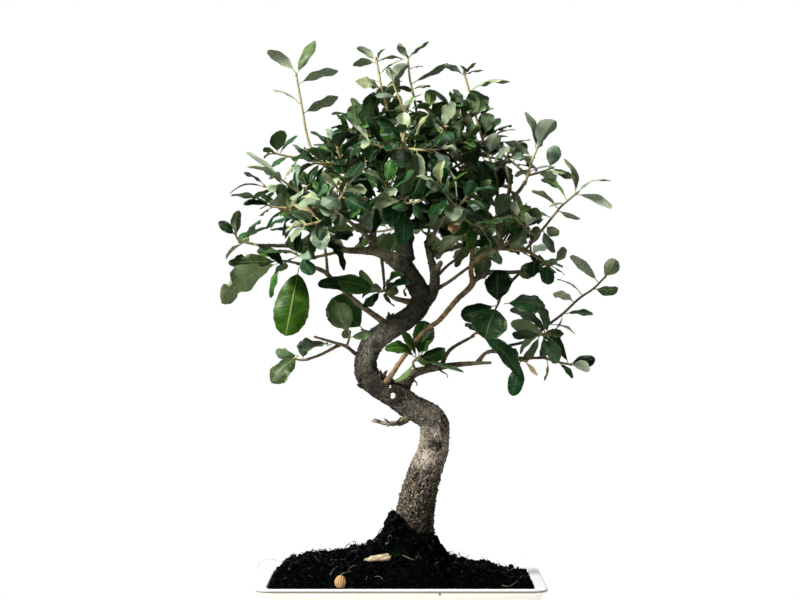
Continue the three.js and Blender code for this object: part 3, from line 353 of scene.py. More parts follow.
def hang(piece: Piece, node: str) -> Piece:
    """Lets a piece ride on the body and stand for its node.

    Args:
        piece: The piece.
        node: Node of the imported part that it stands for.

    Returns:
        The piece.
    """
    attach(piece, BODY)
    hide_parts(node)
    return piece


class Mass:
    """Gathers the vertices and faces of one piece, with what each vertex carries, in true millimetres."""

    def __init__(self) -> None:
        """Starts empty."""
        self.points: list[Array] = []
        self.faces: list[list[tuple[int, ...]]] = []
        self.dress: list[int] = []
        self.carried: list[dict[str, Array]] = []
        self.count = 0

    def add(self, points: Array, faces: Array, dress: int = 0, **carried: object) -> None:
        """Adds one shape.

        Args:
            points: Its vertices.
            faces: Its faces as rows of vertex numbers, all of one length.
            dress: Number of its material in the piece.
            **carried: Numbers, vectors or colours, for each vertex or for all of them at once.
        """
        number = len(points)
        self.points.append(np.asarray(points, float))
        self.add_faces(np.asarray(faces) + self.count, dress)
        self.carried.append({name: self._spread(value, number) for name, value in carried.items()})
        self.count += number

    def add_faces(self, faces: Array, dress: int = 0) -> None:
        """Adds faces between vertices that are there already, in one material."""
        self.faces.append(np.asarray(faces).tolist())
        self.dress += [dress] * len(faces)

    @staticmethod
    def _spread(value: object, number: int) -> Array:
        """Gives a value to each of a number of vertices.

        Args:
            value: A number, a vector, or one of them for each vertex.
            number: How many vertices there are.

        Returns:
            A number or a row for each vertex.
        """
        value = np.asarray(value, float)
        if value.ndim == 0:
            return np.full(number, float(value))
        return np.tile(value, (number, 1)) if value.ndim == 1 and len(value) != number else value

    def piece(self, name: str, site: Site, materials: Sequence[Material]) -> Piece:
        """Makes the piece and puts it in the scene.

        Args:
            name: Name of the piece.
            site: Where the tree stands.
            materials: Its materials, in the order that dress counts them.

        Returns:
            The object.
        """
        mesh = bpy.data.meshes.new(name)
        faces = [face for group in self.faces for face in group]
        mesh.from_pydata(site.place(np.vstack(self.points)).tolist(), [], faces)
        mesh.polygons.foreach_set("material_index", self.dress)
        mesh.polygons.foreach_set("use_smooth", [True] * len(faces))
        for key in sorted({key for carried in self.carried for key in carried}):
            self._carry(mesh, key)
        for material in materials:
            mesh.materials.append(material)
        mesh.update()
        self._part_dresses(mesh)
        made = bpy.data.objects.new(name, mesh)
        bpy.context.scene.collection.objects.link(made)
        return made

    @staticmethod
    def _part_dresses(mesh: Mesh) -> None:
        """Makes the edges between two materials sharp.

        Args:
            mesh: The mesh.
        """
        edges = read_out(mesh.loops, "edge_index", 1, int)
        dress = read_out(mesh.polygons, "material_index", 1, int)
        worn = np.repeat(dress, read_out(mesh.polygons, "loop_total", 1, int))
        least = np.full(len(mesh.edges), worn.max(initial=0))
        most = np.zeros(len(mesh.edges), int)
        np.minimum.at(least, edges, worn)
        np.maximum.at(most, edges, worn)
        mesh.edges.foreach_set("use_edge_sharp", (least < most).tolist())

    def _carry(self, mesh: Mesh, key: str) -> None:
        """Writes one carried value to the mesh, and 0 where a shape carries none.

        Args:
            mesh: The mesh.
            key: Name of the value.
        """
        sample = next(carried[key] for carried in self.carried if key in carried)
        width = 1 if sample.ndim == 1 else sample.shape[1]
        columns = [
            carried.get(key, np.zeros((len(points), width))).reshape(len(points), width)
            for points, carried in zip(self.points, self.carried)
        ]
        write_carried(mesh, key, np.vstack(columns))


def flow(rows: Sequence[Row] | Array, step: float) -> Array:
    """Draws a smooth curve through rows, in all their columns.

    Args:
        rows: Rows of x, y, z and whatever else changes along the curve.
        step: About how far apart the new rows are.

    Returns:
        The new rows, the first and the last as given.
    """
    table = np.asarray(rows, float)
    ends = np.vstack([2 * table[0] - table[1], table, 2 * table[-1] - table[-2]])
    made = []
    for before, start, end, after in zip(ends, ends[1:], ends[2:], ends[3:]):
        count = max(1, int(np.ceil(np.linalg.norm((end - start)[:3]) / step)))
        t = (np.arange(count) / count)[:, None]
        pull = (end - before) * t + (2 * before - 5 * start + 4 * end - after) * t**2
        made.append(start + (pull + (3 * start - before - 3 * end + after) * t**3) / 2)
    return np.vstack([*made, table[-1:]])


def unit(vectors: Array) -> Array:
    """Gives the vectors the length 1."""
    return vectors / np.maximum(np.linalg.norm(vectors, axis=-1, keepdims=True), 1e-9)


def length_so_far(path: Array) -> Array:
    """Gives the length of a path up to each of its points."""
    return np.concatenate([[0], np.cumsum(np.linalg.norm(np.diff(path[:, :3], axis=0), axis=1))])


def carriage(path: Array) -> tuple[Array, Array, Array]:
    """Gives frames along a path that don't spin round it.

    Args:
        path: The path's points.

    Returns:
        Tangents, sides and ups, one for each point.
    """
    tangents = unit(np.gradient(path, axis=0))
    side = np.cross(tangents[0], (0, 1, 0.01))
    sides = []
    for tangent in tangents:
        side = side - tangent * (side @ tangent)
        side = side / np.linalg.norm(side)
        sides.append(side)
    sides = np.array(sides)
    return tangents, sides, np.cross(tangents, sides)


def closed_skin(count: int, around: int) -> Array:
    """Numbers the triangles of a body of rings that ends in two points.

    Args:
        count: How many rings there are.
        around: How many points a ring has.

    Returns:
        The triangles. The end points are the last two.
    """
    ring = np.arange(around)
    following = (ring + 1) % around
    faces = []
    for start in range(0, (count - 1) * around, around):
        a, b = ring + start, following + start
        faces += [np.stack([a, b, b + around], 1), np.stack([a, b + around, a + around], 1)]
    first = count * around
    low = np.stack([following, ring, np.full(around, first)], 1)
    high = np.stack([ring, following, np.full(around, around + 1)], 1) + first - around
    return np.vstack([*faces, low, high])


@dataclass(frozen=True)
class Rod:
    """A round rod along a smooth path, with rounded ends."""

    rows: Array
    sides: int
    step: float
    cap: float = 0.6
    drawn_in: float = 0.28

    def shape(self) -> tuple[Array, Array]:
        """Builds the rod from its rows of x, y, z and radius.

        Returns:
            Points, and faces as triangles.
        """
        table = flow(self.rows, self.step)
        tangents, across, up = carriage(table[:, :3])
        angles = np.arange(self.sides) / self.sides * math.tau
        round_ring = np.cos(angles)[:, None, None] * across + np.sin(angles)[:, None, None] * up
        rings = table[:, :3] + round_ring * table[:, 3][:, None]
        rings = np.swapaxes(rings, 0, 1)
        first = table[0, :3] - tangents[0] * table[0, 3] * self.cap
        last = table[-1, :3] + tangents[-1] * table[-1, 3] * self.cap
        rings = np.concatenate([self._shrunk(rings[:1], first), rings, self._shrunk(rings[-1:], last)])
        return np.vstack([rings.reshape(-1, 3), first, last]), closed_skin(len(rings), self.sides)

    def _shrunk(self, ring: Array, towards: Array) -> Array:
        """Gives a smaller ring on the way to the end point."""
        inwards = (ring.mean(axis=1, keepdims=True) - ring) * 0.05
        return ring * (1 - self.drawn_in) + towards * self.drawn_in + inwards


def hash_share(seed: float, place: float) -> float:
    """Gives a fixed number from 0 to 1 for a seed and a place in its row of numbers."""
    mixed = math.sin((seed + 1.37) * HASH[0] + (place + 1.37) * HASH[1]) * HASH[2]
    return mixed - math.floor(mixed)


def cloud(points: Array, size: float, octaves: int = 3) -> Array:
    """Gives soft noise from about -1 to 1 at points; size is how far apart its lumps are."""
    return np.array([noise.fractal(Vector(p), 0.9, 2.1, octaves) for p in (points / size).tolist()])


def gaps_between(points: Array, size: float) -> Array:
    """Gives how far points lie from the edge between two cells, 0 on it and about 1 in a cell's middle."""
    found = [noise.voronoi(Vector(p))[0] for p in (points / size).tolist()]
    return np.array([distances[1] - distances[0] for distances in found])


TRUNK_ROWS: tuple[Row, ...] = (
    (13, 0, 10, 21), (13, 0, 34, 19), (12, 0, 52, 17.5), (13, -1, 70, 17), (17, -3, 88, 15.6),
    (22.5, -4, 106, 14.6), (29, -5, 124, 13.3), (30.5, -6, 139, 13), (29, -5, 151, 12.4),
    (21, -3, 157, 11.8), (8, 0, 163.5, 11.5), (-6, 2, 174, 11.7), (-21, 5, 182.5, 11.2),
    (-30, 7, 191, 10.6), (-32, 8, 203, 10), (-28, 8, 216, 10), (-21, 6, 225, 10), (-10, 4, 232.5, 9.7),
    (3, 2, 240.5, 9.4), (14, 0, 250, 9.2), (18, -2, 261, 9), (14, -3, 272, 8.8), (7, -4, 283, 8.4),
    (2, -4, 293, 7.8), (2, -2, 304, 6.2),
)
LIMBS: dict[str, tuple[Row, ...]] = {
    "leader": (
        (4, -4, 296, 6.2), (4, 2, 322, 5), (3, 5, 345, 4.2), (5, 5, 368, 3.4), (9, 3, 390, 2.6),
        (11, 2, 408, 1.9),
    ),
    "crown_right": ((4, 5, 350, 2.2), (26, 10, 364, 1.9), (48, 14, 378, 1.4)),
    "leader_left": ((4, 5, 360, 2.6), (-4, 3, 385, 2.2), (-8, 0, 408, 1.9), (-12, -3, 432, 1.5)),
    "leader_right": ((9, 3, 388, 2), (24, 4, 398, 1.8), (40, 4, 410, 1.4)),
    "crown_left": (
        (4, -4, 288, 6.4), (-12, -6, 298.5, 5.4), (-25, -8, 303, 4), (-50, -12, 304, 2.8),
        (-71, -16, 310, 2.4), (-91, -20, 308, 2.1), (-128, -26, 308, 1.6),
    ),
    "upright_left": (
        (-25, -8, 303, 3.4), (-25, -11, 320, 3), (-23, -12, 333, 2.6), (-29, -12, 347, 2.2),
        (-31, -12, 354, 1.9),
    ),
    "upper_left": (
        (-23, -12, 333, 2.2), (-34, -8, 350, 2.1), (-48, -4, 364, 1.9), (-62, -1, 375, 1.8),
        (-72, 0, 383, 1.6),
    ),
    "yellow_left": ((-25, -11, 320, 1.8), (-31, -16, 327, 1.7), (-44, -20, 333, 1.5), (-58, -20, 339, 1.3)),
    "branch_a": (
        (-12, 2, 234, 3.1), (-18, 0, 241, 2.8), (-40, -8, 257, 2.5), (-59, -14, 275, 2.3),
        (-70, -18, 285, 2.1), (-85, -22, 290, 1.9), (-94, -24, 292, 1.6),
    ),
    "link_twig": ((-50, -12, 304, 1.6), (-62, -20, 301, 1.4), (-75, -27, 298, 1.3), (-86, -33, 295, 1.1)),
    "riser_twig": ((-66, -17, 281, 1.4), (-67, -22, 295, 1.2), (-68, -27, 304, 1)),
    "branch_b": (
        (-16, -2, 181, 2.8), (-9, -9, 191, 2.4), (-1, -13, 203, 2.2), (8, -15, 215, 2.2),
        (21, -18, 231, 2.2), (33, -20, 239.5, 2.3), (40, -21, 247, 2.4), (51, -21, 260, 2.5),
        (64, -21, 273, 2.7), (63, -20, 284, 2.4), (64, -20, 299, 2.2), (63, -19, 315, 1.9),
    ),
    "branch_c": (
        (-1, 3, 172, 5.6), (4, 4, 183, 5), (8, 3, 190, 4.2), (13, 1, 193.5, 3.9), (23, -2, 196.5, 3.5),
        (44, -6, 200, 2.7), (65, -10, 202, 2), (81, -13, 202.5, 1.3),
    ),
    "c_far": (
        (69, -10, 203, 1.8), (78, -8, 212, 1.5), (95, -4, 211, 1.4), (106, -2, 207, 1.4),
        (131, 0, 207, 1.2),
    ),
    "c_riser": ((36, -5, 199, 1.9), (41, -1, 210, 1.8), (48, 4, 217, 1.6), (66, 10, 227, 1.2)),
    "c_dark": (
        (78, -8, 212, 1.4), (93, -3, 217, 1.3), (110, 1, 221, 1.3), (121, 3, 227, 1.3), (131, 5, 236, 1.3),
    ),
    "branch_f": ((64, -20, 294, 2.6), (73, -22, 299, 2.2), (89, -26, 306, 2), (109, -30, 319, 1.5)),
    "branch_g": ((89, -26, 306, 1.8), (112, -31, 303, 1.6), (121, -33, 299, 1.2)),
    "junction_right": (
        (89, -26, 306, 2.1), (90, -21, 327, 2), (94, -17, 345, 1.9), (106, -13, 357, 1.7),
        (112, -11, 366, 1.5),
    ),
    "top_right_riser": ((91, -20, 333, 1.8), (87, -16, 352, 1.7), (86, -14, 370, 1.5)),
    "stub_upper_right": ((94, -17, 345, 1.7), (98, -24, 362, 1.6), (95, -28, 379, 1.5)),
    "grey_right": (
        (64, -20, 276, 2.4), (73, -13, 281, 2.2), (82, -8, 284, 2.1), (101, 0, 284, 1.8),
        (122, 5, 286, 1.3),
    ),
    "drop_right": ((108, 2, 284.5, 1.3), (95, -8, 271, 1.3), (90, -14, 262, 1.2)),
    "right_stem": (
        (15, -2, 254, 6.4), (25, -2, 262, 5.6), (30, -1, 272, 4.6), (30, 0, 284, 4.2), (27, 3, 295, 3.4),
        (23, 8, 312, 2.8),
    ),
    "stub_right": ((30, 0, 282, 2.6), (36, -4, 293, 2.3)),
    "dark_right_low": ((29, 0, 267, 1.8), (44, 2, 276, 1.5), (59, 3, 287, 1.3), (75, 8, 296, 1.1)),
    "dark_right_high": ((31, 0, 279, 1.5), (42, 8, 290, 1.3), (53, 14, 298, 1.1)),
    "twig_d": (
        (-31, 5, 206, 2), (-40, 2, 210, 1.8), (-49, 0, 217, 1.6), (-58, -2, 220, 1.4), (-78, -6, 226, 1),
    ),
    "twig_d_low": ((-55, -1, 219, 1.4), (-72, -4, 210, 1.3), (-86, -6, 205, 1.1)),
    "inner_spur": ((9, -4, 257, 2.4), (-4, -11, 260, 2), (-10, -13, 263, 1.5)),
    "dark_drop": ((-18, -7, 301, 1.5), (-16, -13, 284, 1.3), (-15, -15, 272, 1.1)),
    "snag": (
        (11, -4, 156, 2.8), (3, -7, 151, 2.4), (-5, -9, 148, 2.3), (-14, -11, 148, 2), (-23, -12, 150, 1.6),
        (-27, -12, 150, 1),
    ),
    "back_left": ((4, 2, 326, 2.8), (-14, 30, 338, 2.4), (-34, 58, 350, 1.8), (-46, 78, 356, 1.3)),
    "back_right": ((3, 5, 350, 2.6), (24, 32, 360, 2.2), (44, 58, 368, 1.6)),
    "back_low": ((3, -1, 306, 2.8), (10, 30, 314, 2.2), (8, 62, 322, 1.6)),
    "back_left_low": ((-50, -12, 304, 2), (-62, 14, 312, 1.7), (-78, 40, 320, 1.3)),
    "back_right_low": ((26, 4, 300, 2.4), (48, 30, 306, 2), (76, 56, 312, 1.4)),
    "front_centre": ((4, 1, 318, 2.4), (-2, -28, 332, 1.9), (-8, -54, 344, 1.4)),
    "front_right": ((24, 7, 308, 2.2), (34, -24, 326, 1.8), (44, -52, 338, 1.3)),
    "front_left": ((-25, -10, 312, 2), (-42, -38, 326, 1.6), (-54, -62, 336, 1.2)),
    "front_top": ((4, 5, 366, 2), (4, -20, 378, 1.6), (2, -42, 388, 1.2)),
    "back_top": ((6, 5, 376, 2), (6, 30, 392, 1.5), (2, 48, 402, 1.2)),
}
STEMS: dict[str, tuple[tuple[Row, ...], ...]] = {
    "top_left": (((-72, 0, 382), (-80, 0, 394), (-85, 1, 409), (-89, 2, 432), (-94, 4, 460)),),
    "upper_left_side": (((-66, -1, 378), (-76, -7, 385), (-100, -9, 388), (-113, -10, 391)),),
    "top_mid_left": (((-12, -3, 430), (-16, -4, 444), (-18, -5, 452), (-20, -5, 464), (-22, -5, 475)),),
    "top_mid": (((9, 3, 388), (8, -6, 403), (10, -8, 416), (3, -10, 430), (-3, -11, 444), (-7, -12, 454)),),
    "top_mid_right": (((11, 2, 406), (14, 3, 424), (12, 3, 440), (8, 3, 458), (6, 3, 477)),),
    "top_right": (
        ((86, -14, 368), (80, -12, 386), (71, -10, 411), (64, -8, 438), (57, -7, 463)),
        ((84, -13, 374), (93, -4, 384), (100, 4, 397)), ((77, -12, 396), (68, -2, 402), (60, 8, 410)),
    ),
    "right_upper": (
        ((112, -11, 364), (116, -10, 378), (119, -9, 387), (123, -8, 396)),
        ((114, -10, 371), (104, 0, 380), (94, 8, 388)), ((114, -10, 371), (126, -4, 374), (136, 4, 378)),
    ),
    "right_tall": (

        (
            (111, -31, 303), (122, -31, 316), (131, -30, 327), (139, -29, 337), (145, -28, 344),
            (158, -26, 355),
        ),
        ((122, -31, 316), (112, -36, 324), (104, -40, 334)),
    ),
    "right_arm": (((130, 5, 235), (145, 5, 246), (160, 4, 260), (173, 3, 269), (183, 2, 279)),),
    "right_dark_cluster": (((120, 3, 226.5), (126, -6, 228), (133, -10, 228)),),
    "right_low_tip": (((128, 0, 207), (142, 1, 203), (152, 2, 201)),),
    "right_hanging": (((104, -2, 208), (107, -8, 205), (112, -12, 204)),),
    "centre_right_round": (((90, -13, 263.5), (88, -17, 257), (86, -19, 253)),),
    "long_hanging": (((64, 10, 226.5), (67, 2, 229), (70, -5, 229)),),
    "inner_low": (((13, 1, 196), (11, -10, 203), (17, -17, 208)),),
    "low_left": (((-84, -6, 205.5), (-90, -7, 205), (-95, -8, 206)),),
    "low_left_upright": (((-49, 0, 217), (-47, -6, 223), (-46, -8, 229)),),
    "trunk_spur": (((-25, 4, 229), (-31, -4, 231), (-34, -6, 232)),),
    "left_branch_end": (((-93, -24, 292), (-103, -27, 294), (-109, -29, 294)),),
    "centre_left_hanging": (((-15, -14, 274), (-16, -17, 267), (-22, -19, 267)),),
    "inner_spur": (((-9, -13, 262.5), (-13, -16, 265), (-15, -18, 268.5)),),
    "link_end": (((-84, -33, 295.5), (-90, -36, 298), (-98, -38, 302)),),
    "riser_end": (((-68, -26, 302), (-69, -29, 312), (-72, -31, 322)),),
    "crown_far_left": (((-126, -26, 308), (-140, -28, 311), (-147, -29, 314), (-149, -30, 318)),),
    "left_upper_long": (
        ((-57, -20, 338.5), (-70, -23, 341), (-90, -27, 342), (-105, -30, 342), (-116, -32, 343)),
    ),
    "left_upper_pale": (
        ((-44, -20, 333), (-60, -26, 339), (-78, -30, 347), (-92, -32, 356), (-107, -34, 367)),
    ),
    "left_upper_back": (((-48, -4, 364), (-68, 6, 362), (-90, 8, 360), (-112, 8, 360), (-122, 8, 361)),),
    "centre_right_bud": (((63, -19, 308), (60, -24, 318), (62, -26, 329), (66, -27, 337)),),
    "branch_f_end": (
        ((108, -30, 318.5), (113, -33, 324), (115, -34, 328)),
        ((110, -31, 320), (104, -24, 330), (102, -16, 342)),
    ),
    "branch_g_end": (((119, -32, 299.5), (127, -35, 294), (131, -36, 291)),),
    "grey_right_end": (
        ((120, 5, 286), (130, 7, 288), (138, 8, 292)), ((122, 6, 287), (118, 14, 298), (116, 20, 310)),
    ),
    "dark_right": (
        ((73, 7.5, 295), (82, 11, 302), (92, 15, 312), (100, 18, 324)),
        ((82, 11, 302), (80, 2, 312), (76, -6, 324)),
    ),
    "dark_right_inner": (
        ((51, 13.5, 297), (60, 20, 308), (64, 24, 322), (62, 26, 338)),
        ((57, 18, 304), (46, 26, 316), (40, 34, 328)),
    ),
    "right_stem_top": (
        ((23, 7, 309), (26, 12, 324), (34, 15, 336), (44, 16, 346), (56, 16, 354)),
        ((30, 13, 330), (20, 20, 344), (14, 28, 356)), ((40, 15.5, 342), (36, 8, 354), (30, 0, 364)),
    ),
    "junction_left": (
        ((90, -21, 325), (80, -26, 336), (72, -30, 348), (66, -33, 362)),
        ((80, -26, 336), (66, -32, 336), (52, -38, 338)),
    ),
    "crown_right": (
        ((46, 13.5, 377), (60, 10, 386), (70, 4, 396), (76, -4, 408)),
        ((50, 13, 380), (54, 0, 378), (58, -12, 378)), ((60, 10, 386), (54, 2, 398), (48, -6, 410)),
        ((65, 7, 391), (76, 14, 388), (88, 20, 386)),
    ),
    "leader_right_end": (
        ((38, 4, 409), (44, 4, 420), (52, 3, 432)), ((40, 4, 413), (30, -4, 420), (24, -10, 430)),
        ((41, 4, 415), (54, 0, 418), (64, -4, 424)),
    ),
    "leader_right_low": (
        ((22, 4, 397), (34, -6, 394), (46, -14, 396), (60, -20, 402)),
        ((34, -6, 394), (36, -18, 404), (38, -28, 414)), ((46, -14, 396), (56, -16, 384), (66, -18, 376)),
    ),
    "leader_left_low": (
        ((-6, 2, 396), (-20, -6, 402), (-34, -12, 406), (-46, -16, 412)),
        ((-17, -4.3, 400.7), (-22, -18, 410), (-20, -28, 420)),
        ((-26, -9, 404), (-34, -2, 414), (-40, 4, 424)),
    ),
    "leader_left_high": (
        ((-8, 0, 409), (-18, 8, 420), (-32, 12, 428)), ((-14, 5, 416), (-12, 14, 428), (-10, 20, 440)),
    ),
    "upright_left_top": (
        ((-26, -12, 340), (-16, -20, 352), (-8, -26, 366), (-4, -30, 382)),
        ((-16, -20, 352), (-4, -26, 350), (10, -30, 352)),
        ((-10, -25, 363), (-22, -34, 370), (-32, -42, 376)),
    ),
    "upper_left_front": (
        ((-48, -4, 363), (-50, -16, 374), (-54, -24, 386), (-58, -28, 398)),
        ((-50, -16, 374), (-40, -26, 378), (-28, -34, 386)),
        ((-53, -22, 383), (-66, -30, 382), (-78, -36, 382)),
    ),
    "upper_left_back": (
        ((-60, -1, 374), (-58, 12, 386), (-60, 24, 400)), ((-58, 12, 386), (-46, 20, 392), (-36, 26, 402)),
    ),
    "front_centre": (
        ((-7, -52, 343), (-10, -66, 352), (-14, -80, 364)), ((-9, -60, 348), (4, -72, 346), (16, -82, 348)),
        ((-10, -66, 352), (-24, -74, 346), (-36, -82, 342)),
    ),
    "front_right": (
        ((43, -50, 337), (50, -66, 342), (58, -82, 350)), ((47, -58, 340), (60, -64, 330), (74, -70, 324)),
        ((50, -66, 342), (42, -78, 352), (34, -88, 364)),
    ),
    "front_left": (
        ((-53, -60, 335.5), (-62, -74, 342), (-72, -88, 350)),
        ((-57, -66, 338), (-72, -68, 330), (-88, -70, 326)),
        ((-62, -74, 342), (-54, -86, 352), (-48, -94, 364)),
    ),
    "front_top": (
        ((2, -40, 387), (2, -54, 398), (4, -64, 412)), ((2, -50, 395), (-14, -58, 396), (-28, -64, 400)),
        ((2, -51, 395.6), (18, -62, 394), (32, -68, 394)),
    ),
    "back_top": (
        ((2, 46, 401), (0, 60, 412), (-4, 70, 424)), ((1, 54, 407), (16, 62, 410), (30, 68, 414)),
        ((0, 60, 412), (-16, 66, 408), (-30, 70, 406)),
    ),
    "back_left": (
        ((-45, 76, 355.5), (-54, 90, 364), (-64, 102, 374)),
        ((-50, 83, 360), (-66, 86, 354), (-80, 88, 350)), ((-54, 90, 364), (-46, 98, 376), (-40, 102, 388)),
    ),
    "back_right": (
        ((42, 56, 367), (54, 74, 376), (64, 90, 388)), ((48, 65, 372), (64, 68, 366), (80, 70, 362)),
        ((54, 74, 376), (46, 84, 388), (40, 90, 400)),
    ),
    "back_low": (
        ((8, 60, 321.5), (6, 78, 328), (2, 96, 338)), ((7, 69, 325), (24, 80, 324), (40, 88, 326)),
        ((6, 78, 328), (-12, 86, 322), (-28, 92, 320)),
    ),
    "back_left_low": (
        ((-77, 38, 319.5), (-88, 52, 326), (-100, 64, 336)),
        ((-82, 45, 323), (-74, 60, 320), (-66, 74, 320)),
    ),
    "back_right_low": (
        ((74, 54, 311.5), (88, 68, 318), (102, 80, 328)), ((81, 61, 315), (70, 74, 312), (60, 86, 310)),
    ),
}




@dataclass(frozen=True)
class BarkFinish:
    """Cork oak bark: corky and fissured where it is old, smooth with pores where it is young."""

    roughness: float = 0.9
    crack_colour: Colour = (0.009, 0.006, 0.004)
    lichen: Colour = (0.56, 0.49, 0.38)
    relief_depth: float = 0.0024
    cut_tones: tuple[Colour, Colour] = ((0.62, 0.56, 0.44), (0.90, 0.87, 0.78))
    cut_roughness: float = 0.7

    def material(self) -> Material:
        """Builds the bark from the tone, age and limb place that each vertex carries.

        Returns:
            The material.
        """
        g = Graph("cork_oak_bark")
        limb, age, hollow = g.vector("limb"), g.value("age"), g.value("hollow")
        old = age.between(0.45, 0.95)
        bent = g.warped(limb, 0.30, 5.0)
        mottle = g.grain(limb, 0.14, 4, 0.65)
        speckle = g.grain(limb, 0.52, 6, 0.82)
        wrinkle = g.grain(g.stretched(limb, 0.6, 0.6, 1.6), 0.8, 3, 0.7)
        plates = g.cells(g.stretched(bent, 1, 1, 0.42), 0.36, "DISTANCE_TO_EDGE")
        flakes = g.cells(g.stretched(g.warped(limb, 0.5, 2.6), 1, 1, 0.55), 0.62)
        crack = plates.between(0.14, 0.02) * old
        rim = plates.between(0.12, 0.20) * plates.between(0.36, 0.24) * old * speckle.between(0.4, 0.6)
        pit = speckle.between(0.43, 0.35) * age.between(0.02, 0.5)
        pores = g.cells(g.stretched(limb, 1, 1, 1.25), 0.42).between(0.28, 0.12) * age.between(0.1, 0.3)
        contrast = (speckle - 0.5) * (age * 5.4 - 0.4) + (mottle - 0.5) * 3.2 + (wrinkle - 0.5) * 1.4 + 1
        contrast = contrast - (flakes - 0.45) * age * 1.4
        tone = g.shaded(g.vector("tone"), contrast.between(-0.3, 2.3) * 2.4 + 0.05)
        pale = speckle.between(0.58, 0.67) * (age * 0.6 + 0.06)
        tone = g.blend(1 - (1 - pale) * (1 - rim * 0.7), tone, self.lichen)
        # Painted shade: the bark is darkened deep in cracks and low spots, on top of the cracks' own dark
        # colour.
        dark = 1 - (1 - crack * 0.85) * (1 - pit * 0.75) * (1 - pores * 0.8) * (1 - hollow * 0.6)
        tone = g.blend(dark, tone, self.crack_colour)
        relief = speckle * 0.8 + wrinkle * 0.25 + rim * 0.5 - flakes * age * 0.5
        relief = relief - crack * 0.8 - pit * 0.4 - pores * 0.3
        normal = g.bump(relief, self.relief_depth)
        return g.surface(Base_Color=tone, Roughness=self.roughness, Specular_IOR_Level=0.3, Normal=normal)

    def cut_wood(self) -> Material:
        """Builds the pale wood of a pruning cut.

        Returns:
            The material.
        """
        g = Graph("pruning_cut")
        fine = g.grain(g.place(), 1500, 3, 0.6)
        tone = g.blend(fine.between(0.35, 0.65), *self.cut_tones)
        return g.surface(Base_Color=tone, Roughness=self.cut_roughness, Normal=g.bump(fine, 0.0003, 0.6))


@dataclass(frozen=True)
class Mark:
    """A scar, knot or nub on the bark, at a photo place.

    Attributes:
        place: Across and down, in pixels.
        reach: Radius, in millimetres.
        rise: How far its collar stands out.
        tone: Colour of the collar.
        core: Radius of its cut face as a share of the reach, 0 for none.
    """

    place: tuple[float, float]
    reach: float
    rise: float
    tone: Colour
    core: float = 0.0


TRUNK_TONES = (
    (0, (0.050, 0.038, 0.024)),
    (40, (0.115, 0.088, 0.056)),
    (70, (0.215, 0.165, 0.108)),
    (100, (0.275, 0.222, 0.152)),
    (112, (0.340, 0.288, 0.215)),
    (132, (0.340, 0.295, 0.225)),
    (146, (0.098, 0.082, 0.060)),
    (162, (0.070, 0.059, 0.041)),
    (176, (0.052, 0.041, 0.026)),
    (188, (0.070, 0.057, 0.038)),
    (198, (0.200, 0.180, 0.135)),
    (212, (0.290, 0.272, 0.214)),
    (226, (0.250, 0.236, 0.184)),
    # From here up the bark tones are darkened as painted shade under the crown.
    (238, (0.075, 0.070, 0.045)),
    (252, (0.040, 0.038, 0.023)),
    (290, (0.024, 0.024, 0.012)),
    (330, (0.026, 0.026, 0.012)),
)
TRUNK_AGES = ((0, 1.0), (96, 1.0), (112, 0.6), (135, 0.55), (160, 0.55), (200, 0.6), (230, 0.5), (330, 0.35))
LIMB_TONES = {
    "crown_left": (0.20, 0.18, 0.11),
    "branch_b": (0.23, 0.145, 0.070),
    "branch_a": (0.20, 0.15, 0.085),
    "branch_c": (0.10, 0.08, 0.05),
    "c_far": (0.16, 0.11, 0.055),
    "c_riser": (0.16, 0.12, 0.06),
    "branch_f": (0.20, 0.17, 0.075),
    "branch_g": (0.21, 0.18, 0.075),
    "junction_right": (0.20, 0.165, 0.08),
    "upright_left": (0.13, 0.115, 0.06),
    "yellow_left": (0.30, 0.27, 0.10),
    "link_twig": (0.24, 0.19, 0.09),
    "snag": (0.27, 0.22, 0.15),
    "twig_d": (0.14, 0.105, 0.06),
    "twig_d_low": (0.14, 0.105, 0.06),
    # The right stem and the leader are painted dark as shade inside the crown.
    "right_stem": (0.035, 0.031, 0.019),
    "leader": (0.024, 0.024, 0.012),
    "grey_right": (0.15, 0.13, 0.085),
}
TWIG_TONE = (0.13, 0.11, 0.055)
OLIVE_RING = (0.006, 0.0055, 0.002)
SCAR_WHITE = (0.80, 0.76, 0.66)
KNOT_DARK = (0.006, 0.005, 0.004)
MARKS = (
    Mark((393, 396), 8.5, 1.5, OLIVE_RING, 0.32),
    Mark((399, 391), 5.5, 1.2, OLIVE_RING),
    Mark((390, 387), 2.4, 0.4, OLIVE_RING, 0.55),
    Mark((440, 446), 5.6, 1.1, KNOT_DARK),
    Mark((433, 444), 4.2, 0.6, KNOT_DARK),
    Mark((428, 447), 2.4, 0.3, KNOT_DARK),
    Mark((443, 448), 1.5, 0.2, KNOT_DARK, 0.6),
    Mark((376, 346), 5.0, 1.4, (0.09, 0.07, 0.04)),
    Mark((361, 385), 4.0, 2.2, (0.10, 0.085, 0.05)),
    Mark((402, 417), 3.0, 1.3, (0.13, 0.12, 0.04)),
    Mark((408, 471), 5.0, 0.9, (0.11, 0.085, 0.06)),
    Mark((375, 387), 11.0, 1.2, (0.014, 0.010, 0.006)),
    Mark((422, 398), 3.0, 1.2, KNOT_DARK),
    Mark((427, 470), 4.0, 0.8, (0.10, 0.075, 0.05)),
    Mark((419, 500), 4.5, 0.9, (0.20, 0.16, 0.10)),
    Mark((425, 461), 9.0, 0.2, (0.42, 0.355, 0.28)),
)
